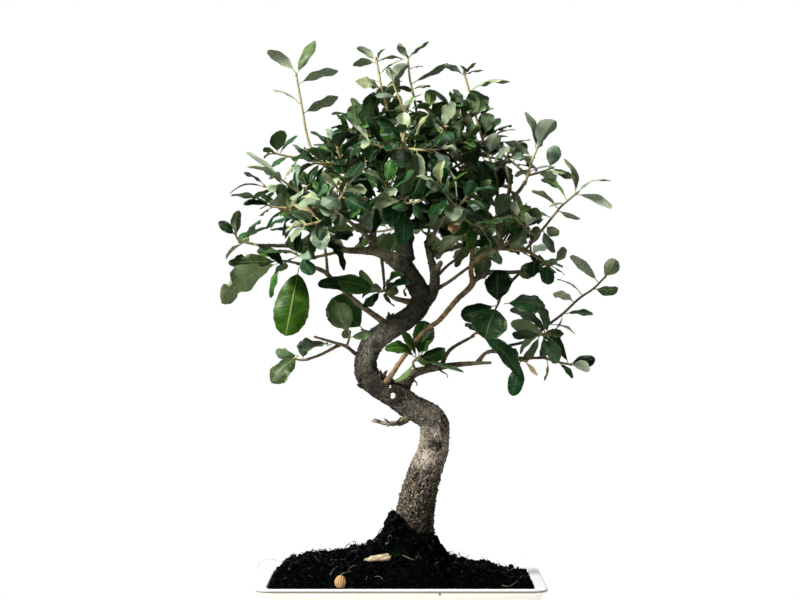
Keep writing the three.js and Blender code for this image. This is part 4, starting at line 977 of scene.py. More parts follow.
SPURS = (
    (-6, 2.3, ((380, 377), (381, 373), (380, 370))),
    (-5, 2.0, ((384, 376), (386, 372), (388, 371))),
    (-5, 1.0, ((411, 377), (414, 380), (413, 383))),
    (-5, 0.8, ((414, 380), (417, 384), (416, 386))),
    (-8, 1.0, ((439, 369), (442, 372), (446, 374), (448, 378))),
    (-3, 2.4, ((388, 319), (389, 315), (388, 312))),
    (-3, 1.7, ((391, 318), (392, 315), (394, 313))),
    (-12, 1.5, ((408, 421), (400, 425), (394, 424), (387, 427))),
    (-12, 1.6, ((380, 422), (375, 420), (371, 421))),
    (-12, 1.2, ((397, 423), (400, 419), (401, 417))),
    (-12, 1.1, ((389, 423), (386, 420), (384, 419))),
    (2, 2.2, ((363, 387), (359, 386), (357, 384))),
    (5, 1.2, ((406, 296), (404, 291), (407, 288))),
)
SPUR_TONE = (0.045, 0.033, 0.021)
# Painted shade: between these heights the trunk's right-facing side is darkened, by up to this share.
SHADED_SIDE_HEIGHTS = (165, 180, 245, 262)
SHADED_SIDE_DARKNESS = 0.72
CORK_CRUMB = (0.50, 0.40, 0.27)
NEAR_PLACE = 2.2


@dataclass
class Wood:
    """The trunk with its limbs, twigs and marks, all in its one node's place."""

    site: Site
    limbs: dict[str, Sequence[Row]]
    voxel: float = 0.93
    thick: float = 2.6
    crumbs: int = 900
    crumb_top: float = 172.0
    fissure_depth: float = 1.1
    fissure_size: float = 3.5
    collar: float = 1.45
    collar_run: float = 2.2
    names: list[str] = field(init=False)
    lines: Array = field(init=False)

    def __post_init__(self) -> None:
        """Samples the middle line of every limb, with its own axes, for finding where a point lies on it."""
        self.names = list(self.limbs)
        samples = []
        for number, rows in enumerate(self.limbs.values()):
            table = flow(self.site.seen(rows), 1.0)
            frames = carriage(table[:, :3])
            label = np.full(len(table), number)
            samples.append(np.column_stack([table, *frames, length_so_far(table), label]))
        self.lines = np.vstack(samples)

    def build(self, finish: BarkFinish) -> list[Piece]:
        """Builds the thick wood as one grown body, and the thin twigs on it.

        Args:
            finish: The bark.

        Returns:
            The two pieces.
        """
        material = finish.material()
        pieces = [self._thick_wood(material), self._twigs(material, finish.cut_wood())]
        return [hang(piece, "trunk_and_branches") for piece in pieces]

    def _rod(self, name: str, sides: int, step: float) -> tuple[Array, Array]:
        """Builds a limb's rod, a little wider where it leaves its parent.

        Args:
            name: Name of the limb.
            sides: Faces round it.
            step: About how long a face is.

        Returns:
            Points, and faces as triangles.
        """
        table = self.site.seen(self.limbs[name])
        if name != "trunk":
            fine = flow(table, 2.0)
            reach = self.collar_run * table[0, 3]
            fine[:, 3] *= 1 + (self.collar - 1) * np.exp(-length_so_far(fine) / reach)
            table = fine
        return Rod(table, sides, step).shape()

    def _thick_wood(self, material: Material) -> Piece:
        """Joins the thick limbs into one skin and carves the bark into it.

        Args:
            material: The bark.

        Returns:
            The piece.
        """
        rough = Mass()
        for name, rows in self.limbs.items():
            if rows[0][3] >= self.thick:
                rough.add(*self._rod(name, 28 if name == "trunk" else 14, 1.5))
        piece = rough.piece("trunk_and_limbs", self.site, [material])
        remesh = piece.modifiers.new("one_skin", "REMESH")
        remesh.mode = "VOXEL"
        remesh.voxel_size = self.voxel * MM
        remesh.use_smooth_shade = True
        grown = fix_modifiers(piece)
        points = self.relaxed(grown, self.site.unplace(read_out(grown.vertices, "co", 3)), 4)
        carried = self.along_limbs(points)
        normals = self._normals(grown, points)
        lift, hollow = self.relief(carried)
        tone = carried["tone"].copy()
        # Painted shade: the trunk's right-facing side is darkened between these heights, as if lit from the
        # left.
        rising = np.interp(points[:, 2], SHADED_SIDE_HEIGHTS, (0, 1, 1, 0)) * carried["trunk"]
        tone *= 1 - (SHADED_SIDE_DARKNESS * rising * np.clip(normals[:, 0] * 1.3, 0, 1))[:, None]
        for mark in MARKS:
            self._press(mark, points, lift, tone)
        points = points + normals * lift[:, None]
        grown.vertices.foreach_set("co", self.site.place(points).ravel())
        del carried["trunk"]
        for key, values in {**carried, "tone": tone, "hollow": hollow}.items():
            write_carried(grown, key, values)
        grown.polygons.foreach_set("use_smooth", [True] * len(grown.polygons))
        grown.update()
        return piece

    @staticmethod
    def relaxed(mesh: Mesh, points: Array, rounds: int) -> Array:
        """Smooths points over the edges of a mesh.

        Args:
            mesh: The mesh whose edges are used.
            points: Its vertices.
            rounds: How often.

        Returns:
            The smoothed vertices, not shrunk.
        """
        first, second = read_out(mesh.edges, "vertices", 2, int).T
        count = np.bincount(np.concatenate([first, second]), minlength=len(points))[:, None]
        for k in range(rounds * 2):
            total = np.zeros_like(points)
            np.add.at(total, first, points[second])
            np.add.at(total, second, points[first])
            points = points + (total / np.maximum(count, 1) - points) * (0.5 if k % 2 == 0 else -0.47)
        return points

    def _normals(self, mesh: Mesh, points: Array) -> Array:
        """Moves the vertices of a mesh to these points.

        Args:
            mesh: The mesh.
            points: Its new vertices.

        Returns:
            The vertex normals that it then has.
        """
        mesh.vertices.foreach_set("co", self.site.place(points).ravel())
        mesh.update()
        return read_out(mesh.vertices, "normal", 3)

    def along_limbs(self, points: Array) -> dict[str, Array]:
        """Finds where points lie on the limbs.

        Args:
            points: Points on the wood.

        Returns:
            limb (a place in millimetres that runs along the limb), age, tone and trunk, the trunk's share.
        """
        lines = self.lines
        tones, ages = self._sample_tones()
        limb, age, tone, trunk = [], [], [], []
        for chunk in np.array_split(points, max(1, len(points) // 4000)):
            apart = chunk[:, None, :] - lines[None, :, :3]
            off = np.sqrt((apart**2).sum(axis=2)) - lines[:, 3]
            nearest = off.argmin(axis=1)
            picked = lines[nearest]
            away = chunk - picked[:, :3]
            columns = [(away * picked[:, k : k + 3]).sum(axis=1) for k in (7, 10, 4)]
            shift = picked[:, 14] * 53.0
            limb.append(np.column_stack([columns[0] + shift, columns[1], columns[2] + picked[:, 13]]))
            weight = np.exp(-(off - off.min(axis=1, keepdims=True)) / 0.9)
            weight /= weight.sum(axis=1, keepdims=True)
            tone.append(weight @ tones)
            age.append(weight @ ages)
            trunk.append(weight @ (lines[:, 14] == 0))
        return {
            "limb": np.vstack(limb),
            "age": np.concatenate(age),
            "tone": np.vstack(tone),
            "trunk": np.concatenate(trunk),
        }

    def _sample_tones(self) -> tuple[Array, Array]:
        """Gives each sample of the middle lines its colour and age.

        Returns:
            One colour and one age for each sample.
        """
        heights = [height for height, _ in TRUNK_TONES]
        by_height = [
            np.interp(self.lines[:, 2], heights, [tone[k] for _, tone in TRUNK_TONES]) for k in range(3)
        ]
        tones = np.column_stack(by_height)
        ages = np.interp(self.lines[:, 2], *np.array(TRUNK_AGES).T)
        for number, name in enumerate(self.names):
            if number:
                own = self.lines[:, 14] == number
                tones[own] = LIMB_TONES.get(name, TWIG_TONE)
                ages[own] = np.clip(self.lines[own, 3] / 14, 0.05, 0.5)
        return tones, ages

    def relief(self, carried: dict[str, Array]) -> tuple[Array, Array]:
        """Works out how far the bark stands out.

        Args:
            carried: What along_limbs found for the points on the wood.

        Returns:
            The height in millimetres, and how deep in a crack or low spot each point lies, from 0 to 1; the
            bark is painted darker there as shade.
        """
        limb, age, trunk = carried["limb"], carried["age"], carried["trunk"]
        wavy = limb + np.column_stack([cloud(limb + shift, 6.0, 2) for shift in (0, 31, 57)]) * 1.4
        old = np.clip((age - 0.35) / 0.5, 0, 1)
        plates = gaps_between(wavy * (1, 1, 0.5), self.fissure_size)
        crack = np.clip(1 - plates / 0.16, 0, 1) * old
        lumps = cloud(limb, 11.0, 2) * (0.25 + 0.7 * old) * (0.3 + 0.7 * trunk)
        grit = cloud(wavy + 17, 2.2, 3) * (0.14 + 0.62 * age)
        flakes = np.clip(cloud(limb + 71, 2.3, 2) - 0.36, 0, 1) * 3.6 * np.clip(age, 0.12, 1)
        rings = np.cos(limb[:, 2] * math.tau / 7.5 + 3 * cloud(limb * 0.2, 6, 1)).clip(0, 1) ** 8
        nodes = rings * 0.35 * (1 - trunk) * np.clip(1 - age * 2, 0, 1)
        domes = np.clip(plates, 0, 0.5) * 1.1 * old
        lift = lumps + grit + flakes + nodes + domes - crack * self.fissure_depth
        return lift, np.clip(crack * 0.8 + np.clip(-grit - 0.25, 0, 0.5) * old, 0, 1)

    @staticmethod
    def _press(mark: Mark, points: Array, lift: Array, tone: Array) -> None:
        """Raises and colours one mark on the side that faces the camera.

        Args:
            mark: The mark.
            points: Points on the wood.
            lift: How far the bark stands out there, changed in place.
            tone: Its colour there, changed in place.
        """
        across, down = Site.photo_place(points)
        near = np.hypot(across - mark.place[0], down - mark.place[1])
        centre = points[np.where(near < NEAR_PLACE, points[:, 1], np.inf).argmin()]
        away = np.linalg.norm(points - centre, axis=1) / mark.reach
        close = away < 2
        away[close] *= 1 + 0.45 * cloud(points[close] + centre, 3.0, 3)
        collar = np.clip(1 - away, 0, 1)
        bump = np.sin(np.clip(away, 0, 1) * math.pi) if mark.core else collar**1.5
        lift[:] = lift * (1 - 0.7 * collar) + mark.rise * bump
        share = np.clip(collar * 1.8, 0, 1)[:, None]
        tone[:] = tone * (1 - share) + np.array(mark.tone) * share

    def _twigs(self, material: Material, cut: Material) -> Piece:
        """Builds the thin twigs as rods with a little relief, the loose cork and the cut faces.

        Args:
            material: The bark.
            cut: The wood of a pruning cut.

        Returns:
            The piece.
        """
        twigs = Mass()
        for name, rows in self.limbs.items():
            if rows[0][3] < self.thick:
                points, faces = self._rod(name, 10, 1.0)
                carried = self.along_limbs(points)
                lift, _ = self.relief(carried)
                del carried["trunk"]
                points = points + unit(points - self._centres(points)) * lift[:, None] * 0.7
                twigs.add(points, faces, hollow=0, **carried)
        for depth, radius, places in SPURS:
            rows = [self.site.pictured(*place, depth) for place in places]
            radii = np.linspace(radius, 0.35, len(rows))[:, None]
            points, faces = Rod(np.hstack([rows, radii]), 7, 0.8).shape()
            points = points + cloud(points, 1.8, 2)[:, None] * 0.3
            twigs.add(points, faces, limb=points, age=0.3, tone=SPUR_TONE, hollow=0)
        self._crumbs(twigs)
        self._scars(twigs)
        return twigs.piece("twigs", self.site, [material, cut])

    def _crumbs(self, mass: Mass) -> None:
        """Sets small dark flakes and pale crumbs of cork on the trunk, more of them low down.

        Args:
            mass: What they are added to.
        """
        chance = np.random.default_rng(5)
        trunk = self.lines[self.lines[:, 14] == 0]
        low, high = trunk[0, 2], self.crumb_top
        points, faces = ovoid((1, 1, 1), 0.7, 5, 3)
        for _ in range(self.crumbs):
            share = chance.uniform(0, 1) ** 1.3
            row = trunk[np.abs(trunk[:, 2] - (low + (high - low) * share)).argmin()]
            turn = chance.uniform(0, math.tau)
            out = row[7:10] * math.cos(turn) + row[10:13] * math.sin(turn)
            spot = row[:3] + out * (row[3] + chance.uniform(-0.3, 0.45)) + row[4:7] * chance.uniform(-1, 1)
            size = chance.uniform(0.7, 2.0) * chance.uniform(0.5, 1.1, 3)
            shape = turned(points * size, chance.uniform(0, 360), chance.uniform(0, 360), spot)
            pale = chance.uniform(0, 1) ** 2.5
            tone = np.array(SPUR_TONE) * 0.7 + (np.array(CORK_CRUMB) - SPUR_TONE) * pale
            mass.add(shape, faces, limb=shape, age=0.4, tone=tone, hollow=0)

    def _scars(self, mass: Mass) -> None:
        """Sets the pale cut faces into the marks that have one.

        Args:
            mass: What they are added to.
        """
        for mark in MARKS:
            if mark.core:
                centre, out = self._front_point(mark)
                reach = mark.reach * mark.core
                points, faces = ovoid((reach * 2, reach * 0.7, reach * 2.1), 0.9, 14, 10)
                spin = Vector((0, -1, 0)).rotation_difference(Vector(out)).to_matrix()
                shape = points @ np.array(spin).T + centre + out * (mark.rise * 0.45)
                shape = shape + cloud(shape, 1.5, 2)[:, None] * 0.12
                mass.add(shape, faces, 1, limb=shape, age=0, tone=SCAR_WHITE, hollow=0)

    def _front_point(self, mark: Mark) -> tuple[Array, Array]:
        """Finds where a mark's photo place meets the trunk.

        Args:
            mark: The mark.

        Returns:
            The point, and the direction out of the bark there.
        """
        trunk = self.lines[self.lines[:, 14] == 0]
        for depth in np.linspace(-30, 20, 200):
            point = self.site.pictured(*mark.place, depth)
            apart = np.linalg.norm(trunk[:, :3] - point, axis=1)
            nearest = (apart - trunk[:, 3]).argmin()
            if apart[nearest] <= trunk[nearest, 3]:
                break
        return point, unit(point - trunk[nearest, :3])

    def _centres(self, points: Array) -> Array:
        """Gives the nearest points on the middle lines."""
        apart = points[:, None, :] - self.lines[None, :, :3]
        return self.lines[(apart**2).sum(axis=2).argmin(axis=1), :3]


class LeafKind(Enum):
    """The looks of the leaves: colour above, colour below, how far the blade rolls, how pale its rib is."""

    DEEP = ((0.0035, 0.0230, 0.0045), (0.070, 0.120, 0.045), 0.6, 0.22)
    BLUISH = ((0.0180, 0.0620, 0.0210), (0.110, 0.170, 0.080), 0.45, 0.30)
    GREEN = ((0.0230, 0.0820, 0.0110), (0.110, 0.190, 0.055), 0.5, 0.45)
    SAGE = ((0.1600, 0.2100, 0.1200), (0.280, 0.335, 0.225), 0.55, 0.40)
    MUTED = ((0.0660, 0.1080, 0.0450), (0.160, 0.220, 0.110), 0.4, 0.35)
    BRIGHT = ((0.0170, 0.0560, 0.0030), (0.060, 0.120, 0.020), 0.4, 0.75)
    OLIVE = ((0.0330, 0.0620, 0.0160), (0.110, 0.160, 0.065), 0.5, 0.45)
    PALE = ((0.2600, 0.3200, 0.1950), (0.380, 0.440, 0.300), 0.6, 0.35)
    TORN = ((0.1000, 0.1500, 0.0500), (0.150, 0.210, 0.090), 0.3, 0.40)
    DRIED = ((0.2800, 0.2000, 0.0900), (0.310, 0.230, 0.120), 1.5, 0.25)

    def __init__(self, top: Colour, under: Colour, roll: float, rib: float) -> None:
        """Splits the value into its four parts."""
        self.top, self.under = top, under
        self.roll, self.rib = roll, rib


@dataclass(frozen=True)
class LeafFinish:
    """A leathery leaf: satin green above with sunken veins, felted sage below."""

    top_roughness: float = 0.34
    under_roughness: float = 0.92
    veins: float = 7.0
    rib_colour: Colour = (0.30, 0.33, 0.12)
    stem_roughness: float = 0.6

    def _veins(self, g: Graph) -> tuple[Channel, Channel, Channel, Channel]:
        """Reads the leaf's own place from what it carries.

        Args:
            g: The material's nodes.

        Returns:
            Along, and the shares of the rib, of the side veins and of the margin.
        """
        along, across, _ = g.parts(g.vector("leaf"))
        aside = abs(across)
        rib = aside.between(0.070, 0.015)
        wave = g.math("FRACT", along * self.veins - aside * 0.8)
        side = abs(wave - 0.5).between(0.10, 0.02) * aside.between(1.0, 0.7) * along.between(1.0, 0.85)
        return along, rib, side, aside.between(0.86, 1.0)

    def top(self) -> Material:
        """Builds the upper side.

        Returns:
            The material.
        """
        g = Graph("leaf_upper_side")
        place = g.place()
        along, rib, side, margin = self._veins(g)
        patch = g.grain(place, 130, 2, 0.5)
        soft = g.grain(place, 110, 0, 0.5)
        brown = g.value("dry") * g.grain(place, 90, 2, 0.5).between(0.62, 0.66) * along.between(0.5, 0.1)
        pale = g.value("rib")
        tone = g.shaded(g.vector("tone"), patch * 2.2 - 0.10)
        tone = g.blend(side * pale * 0.12, tone, self.rib_colour)
        tone = g.blend(rib * pale, tone, self.rib_colour)
        tone = g.blend(margin * 0.10, tone, self.rib_colour)
        tone = g.blend(brown, tone, (0.20, 0.10, 0.035))
        rough = patch * 0.22 + (self.top_roughness - 0.09)
        height = 1 - rib * 0.8 - side * 0.2 + soft * 0.5
        normal = g.bump(height, 0.0005, 0.9)
        return g.surface(Base_Color=tone, Roughness=rough, Specular_IOR_Level=0.12, Normal=normal)

    def under(self) -> Material:
        """Builds the felted lower side.

        Returns:
            The material.
        """
        g = Graph("leaf_lower_side")
        place = g.place()
        _, rib, side, _ = self._veins(g)
        patch = g.grain(place, 140, 2, 0.5)
        felt = g.grain(place, 900, 2, 0.6)
        tone = g.shaded(g.vector("under"), (patch * 0.7 + 0.65) * (felt * 0.12 + 0.94))
        tone = g.blend(rib * 0.5 + side * 0.2, tone, (0.46, 0.47, 0.24))
        normal = g.bump(rib + side * 0.6, 0.0004, 0.8)
        rough = self.under_roughness
        return g.surface(Base_Color=tone, Roughness=rough, Specular_IOR_Level=0.15, Normal=normal)

    def stem(self) -> Material:
        """Builds the young stems, leaf stalks and buds.

        Returns:
            The material.
        """
        g = Graph("young_stem")
        place = g.place()
        patch = g.grain(place, 210, 3, 0.6)
        fine = g.grain(place, 1800, 2, 0.7)
        tone = g.shaded(g.vector("tone"), (patch * 1.0 + 0.5) * (fine * 0.6 + 0.7))
        normal = g.bump(patch * 0.6 + fine * 0.5, 0.0003, 0.7)
        return g.surface(Base_Color=tone, Roughness=self.stem_roughness, Normal=normal)


@dataclass(frozen=True)
class LeafPlace:
    """Where one packed leaf is, in true millimetres."""

    base: Array
    tip: Array
    up: Array
    width: float

    @property
    def length(self) -> float:
        """Length from base to tip."""
        return float(np.linalg.norm(self.tip - self.base))



@dataclass(frozen=True)
class LeafReader:
    """Reads the leaves of a packed shoot from the corners of their kites."""

    site: Site
    keel: float = 0.9
    slack: float = 0.02

    def read(self, node: str) -> list[LeafPlace]:
        """Finds the leaves.

        Args:
            node: Name of the shoot's node.

        Returns:
            One place for each leaf.
        """
        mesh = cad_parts[node].data
        mesh.calc_loop_triangles()
        corners = read_out(mesh.loop_triangles, "vertices", 3, int)
        rounded = np.round(self.site.unplace(read_out(mesh.vertices, "co", 3)), 2)
        points, order = np.unique(rounded, axis=0, return_inverse=True)
        near: dict[int, set[int]] = {}
        for face in order.reshape(-1)[corners].tolist():
            for a in range(3):
                near.setdefault(face[a], set()).update((face[a - 1], face[a - 2]))
        found = (self._leaf(points, near, tip) for tip in near if len(near[tip]) == 3)
        return [leaf for leaf in found if leaf]

    def _leaf(self, points: Array, near: dict[int, set[int]], tip: int) -> LeafPlace | None:
        """Looks for a leaf that ends in this corner.

        Args:
            points: The corners of the shoot.
            near: The corners next to each of them.
            tip: Number of the corner.

        Returns:
            The leaf's place, if there is one.
        """
        ring = near[tip]
        for low in ring:
            left, right = (points[k] for k in ring if k != low)
            width = float(np.linalg.norm(left - right))
            rise = (left + right) / 2 - points[low]
            if abs(np.linalg.norm(rise) - self.keel) < self.slack and width > 2:
                foot = set().union(*(near[k] for k in ring)) - ring - {tip}
                base = np.mean([points[k] for k in foot], axis=0)
                return LeafPlace(base, points[tip], unit(rise), width)
        return None


@dataclass(frozen=True)
class LeafPattern:
    """The grid that a blade is bent from: two skins that meet along the margin."""

    rows: int
    lines: tuple[float, ...] = (-1, -0.6, -0.11, 0, 0.11, 0.6, 1)
    stalk: float = 0.09
    thickness: float = 0.34
    teeth: float = 8.0
    tooth: float = 0.07
    widest: float = 0.56
    base_fullness: float = 0.78
    tip_fullness: float = 0.46
    lean: float = 0.9
    longer: float = 1.08
    wider: float = 1.14

    def grid(self) -> tuple[Array, Array, Array, Array, Array]:
        """Numbers the grid.

        Returns:
            Along, across and skin (1 above, -1 below, 0 on the margin) for each vertex, and the faces
            of the upper and of the lower skin.
        """
        bend = np.linspace(0, 1, self.rows + 1)
        stations = bend - np.sin(bend * math.tau) * 0.06
        width = len(self.lines)
        along = np.repeat(stations, width)
        across = np.tile(self.lines, self.rows + 1)
        edge = (np.abs(across) == 1) | (along == stations[0]) | (along == stations[-1])
        lower = np.arange(len(along))
        lower[~edge] = len(along) + np.arange((~edge).sum())
        k, i = np.meshgrid(np.arange(self.rows), np.arange(width - 1), indexing="ij")
        a = (k * width + i).ravel()
        quads = np.stack([a, a + 1, a + 1 + width, a + width], 1)
        skin = np.concatenate([np.where(edge, 0, 1), np.full((~edge).sum(), -1)])
        along = np.concatenate([along, along[~edge]])
        across = np.concatenate([across, across[~edge]])
        return along, across, skin, quads, lower[quads][:, ::-1]

    def outline(self, along: Array, blunt: float = 1.0) -> Array:
        """Gives the half width for each share of the length, at most 1.

        Args:
            along: Shares of the length.
            blunt: Below 1, a rounder base.

        Returns:
            The half widths.
        """
        power = math.log(0.5) / math.log(self.widest)
        fullness = self.base_fullness * blunt * (1 - along) + self.tip_fullness * along
        return np.sin(math.pi * np.clip(along, 0, 1) ** power).clip(0, 1) ** fullness

    def blade(self, leaf: LeafPlace, note: "LeafNote", seed: float) -> Array:
        """Bends the grid into one leaf.

        Args:
            leaf: Where it is.
            note: Its looks.
            seed: Its own fixed number.

        Returns:
            The vertices.
        """
        along, across, skin, _, _ = self.grid()
        share = [hash_share(seed, k) for k in range(9)]
        length = leaf.length * self.longer
        width = leaf.width * self.wider * note.wider
        axis = unit(leaf.tip - leaf.base)
        up = unit(leaf.up - axis * (leaf.up @ axis))
        lean = (share[6] - 0.5) * self.lean * note.unrest
        up = up * math.cos(lean) + np.cross(axis, up) * math.sin(lean)
        side = np.cross(up, axis)
        saw = np.abs(((along * self.teeth + share[0]) % 1.0) - 0.35) * 1.6
        margin = np.abs(across) ** 5
        half = width / 2 * self.outline(along, note.blunt) * (1 + margin * self.tooth * (saw - 0.6))
        if note.torn:
            half = half * (1 - 0.55 * margin * self._bites(along, across, share[1]))
        droop = note.kind.roll * (0.5 + 1.1 * share[2]) * (1 if share[3] > 0.25 else -0.7)
        turned = np.clip(across * droop, -1.5, 1.5)
        bowed = np.where(abs(droop) > 0.02, np.sin(turned) / (droop or 1), across)
        sunk = (1 - np.cos(turned)) / (droop or 1)
        u = self.stalk + (1 - self.stalk) * along
        arch = (0.05 + 0.07 * share[5]) * length * np.sin(math.pi * u)
        waves = np.sin(math.tau * (along * (1.6 + share[5]) + share[6])) * across**2
        ripple = (share[4] * 0.9 + 0.4) * width / 13 * waves * np.sign(across + 0.01) * self.outline(along)
        curl = -(share[7] - 0.3) * 0.72 * note.unrest * length * np.clip(along - 0.35, 0, 1) ** 2
        groove = -0.28 * np.exp(-((across / 0.12) ** 2)) * np.sin(math.pi * np.clip(along, 0, 1))
        rib = np.exp(-((across / 0.12) ** 2)) * (1 - along) * 0.35
        thick = self.thickness * (1 - 0.6 * np.abs(across)) * np.sqrt(self.outline(along)) / 2
        fold = (share[0] - 0.35) * 0.7 * note.unrest * np.abs(across) * half
        height = arch + ripple + curl + groove + fold - sunk * half + skin * thick - (skin < 0) * rib
        twist = (share[8] - 0.5) * 1.1 * note.unrest * (along - 0.35)
        wide = bowed * half
        turned_wide = wide * np.cos(twist) - (height - arch) * np.sin(twist)
        height = arch + wide * np.sin(twist) + (height - arch) * np.cos(twist)
        sweep = (share[1] - 0.5) * 0.16 * note.unrest * length * np.sin(math.pi * along)
        forward = (u * length + margin * self.tooth * width * 0.3 * saw)[:, None] * axis
        return leaf.base + forward + (turned_wide + sweep)[:, None] * side + height[:, None] * up

    @staticmethod
    def _bites(along: Array, across: Array, start: float) -> Array:
        """Gives where the margin of a torn leaf is missing."""
        left = (across < 0) * np.sin(along * 13 + 1.6 * np.sin(along * 9) + start * 6).clip(0, 1) ** 1.4
        return np.clip(left + (across > 0) * (np.abs(along - 0.72) < 0.07), 0, 1)


@dataclass(frozen=True)
class LeafNote:
    """A leaf whose own looks the photo shows, by the photo place of its middle."""

    place: tuple[float, float]
    kind: LeafKind
    torn: bool = False
    dry: float = 0.0
    within: float = 16.0
    wider: float = 1.0
    unrest: float = 0.3
    blunt: float = 1.0
    ends: tuple[float, float, float, float] | None = None


LEAF_NOTES = (
    LeafNote((250, 262), LeafKind.OLIVE, torn=True, within=9, wider=0.86),
    LeafNote((245, 280), LeafKind.TORN, torn=True, within=24, wider=0.86),
    LeafNote((294, 301), LeafKind.BRIGHT, dry=0.8, wider=0.96, blunt=0.62, ends=(299, 268, 287, 331)),
    LeafNote((282, 371), LeafKind.OLIVE, within=8, wider=1.3, blunt=0.8, ends=(298, 356, 273, 380)),
    LeafNote((284, 354), LeafKind.MUTED, within=7, ends=(298, 356, 277, 353)),
    LeafNote((319, 348), LeafKind.OLIVE, within=9, wider=1.15, blunt=0.8, ends=(331, 345, 304, 351)),
    LeafNote((527, 302), LeafKind.BLUISH, within=10, ends=(505, 304, 542, 306)),
    LeafNote((534, 357), LeafKind.DRIED, within=8),
    LeafNote((530, 368), LeafKind.DRIED, within=5),
    LeafNote((546, 370), LeafKind.DRIED, within=6),
    LeafNote((533, 268), LeafKind.DEEP, within=7),
    LeafNote((280, 62), LeafKind.PALE, within=9, wider=1.05, ends=(296, 73, 270, 52)),
    LeafNote((308, 57), LeafKind.MUTED, within=9, ends=(297, 75, 313, 43)),
    LeafNote((322, 75), LeafKind.PALE, within=8, wider=1.1, ends=(299, 84, 335, 71)),
    LeafNote((323, 106), LeafKind.PALE, within=8, wider=1.1, ends=(303, 114, 336, 99)),
    LeafNote((286, 97), LeafKind.SAGE, within=8, ends=(300, 104, 275, 91)),
    LeafNote((350, 170), LeafKind.DEEP, dry=0.3, within=9),
    LeafNote((458, 163), LeafKind.PALE, within=9),
    LeafNote((456, 222), LeafKind.DRIED, within=4),
    LeafNote((490, 321), LeafKind.BLUISH, within=12, blunt=0.8),
    LeafNote((495, 287), LeafKind.DEEP, within=10),
    LeafNote((519, 299), LeafKind.BLUISH, within=8),
    LeafNote((516, 377), LeafKind.DEEP, within=9),
    LeafNote((500, 352), LeafKind.BLUISH, within=9),
    LeafNote((578, 366), LeafKind.PALE, within=3),
    LeafNote((581, 361), LeafKind.DEEP, within=3.5),
    LeafNote((344, 320), LeafKind.MUTED, within=4),
    LeafNote((349, 315), LeafKind.GREEN, within=4),
    LeafNote((357, 284), LeafKind.GREEN, within=8),
)
SHOOT_KINDS = {
    name: kind
    for kind, names in (
        (LeafKind.OLIVE, ("low_left", "low_left_upright")),
        (LeafKind.MUTED, ("right_dark_cluster",)),
        (LeafKind.BLUISH, ("right_hanging", "long_hanging")),
        (LeafKind.GREEN, ("left_branch_end", "inner_low")),
        (LeafKind.SAGE, ("top_left", "top_mid_left", "top_mid", "top_mid_right", "top_right")),
        (LeafKind.SAGE, ("left_upper_pale", "right_upper", "right_tall", "right_arm", "centre_right_bud")),
    )
    for name in names
}
USUAL_KINDS = (LeafKind.DEEP, LeafKind.DEEP, LeafKind.BLUISH, LeafKind.GREEN)
CROWN_MIDDLE = np.array((0.0, 10.0, 330.0))
CROWN_REACH = np.array((150.0, 95.0, 115.0))
SAGE_FROM = 240.0
INNER_UP = np.array((0.0, 0.0, 1.2))
STRAW = np.array((0.42, 0.33, 0.15))
OLIVE = np.array((0.15, 0.15, 0.05))
TAN = np.array((0.16, 0.12, 0.06))
YOUNG_FROM = 330.0
STALK_GREEN = np.array((0.32, 0.34, 0.10))
BUD_BROWN = (0.17, 0.085, 0.035)


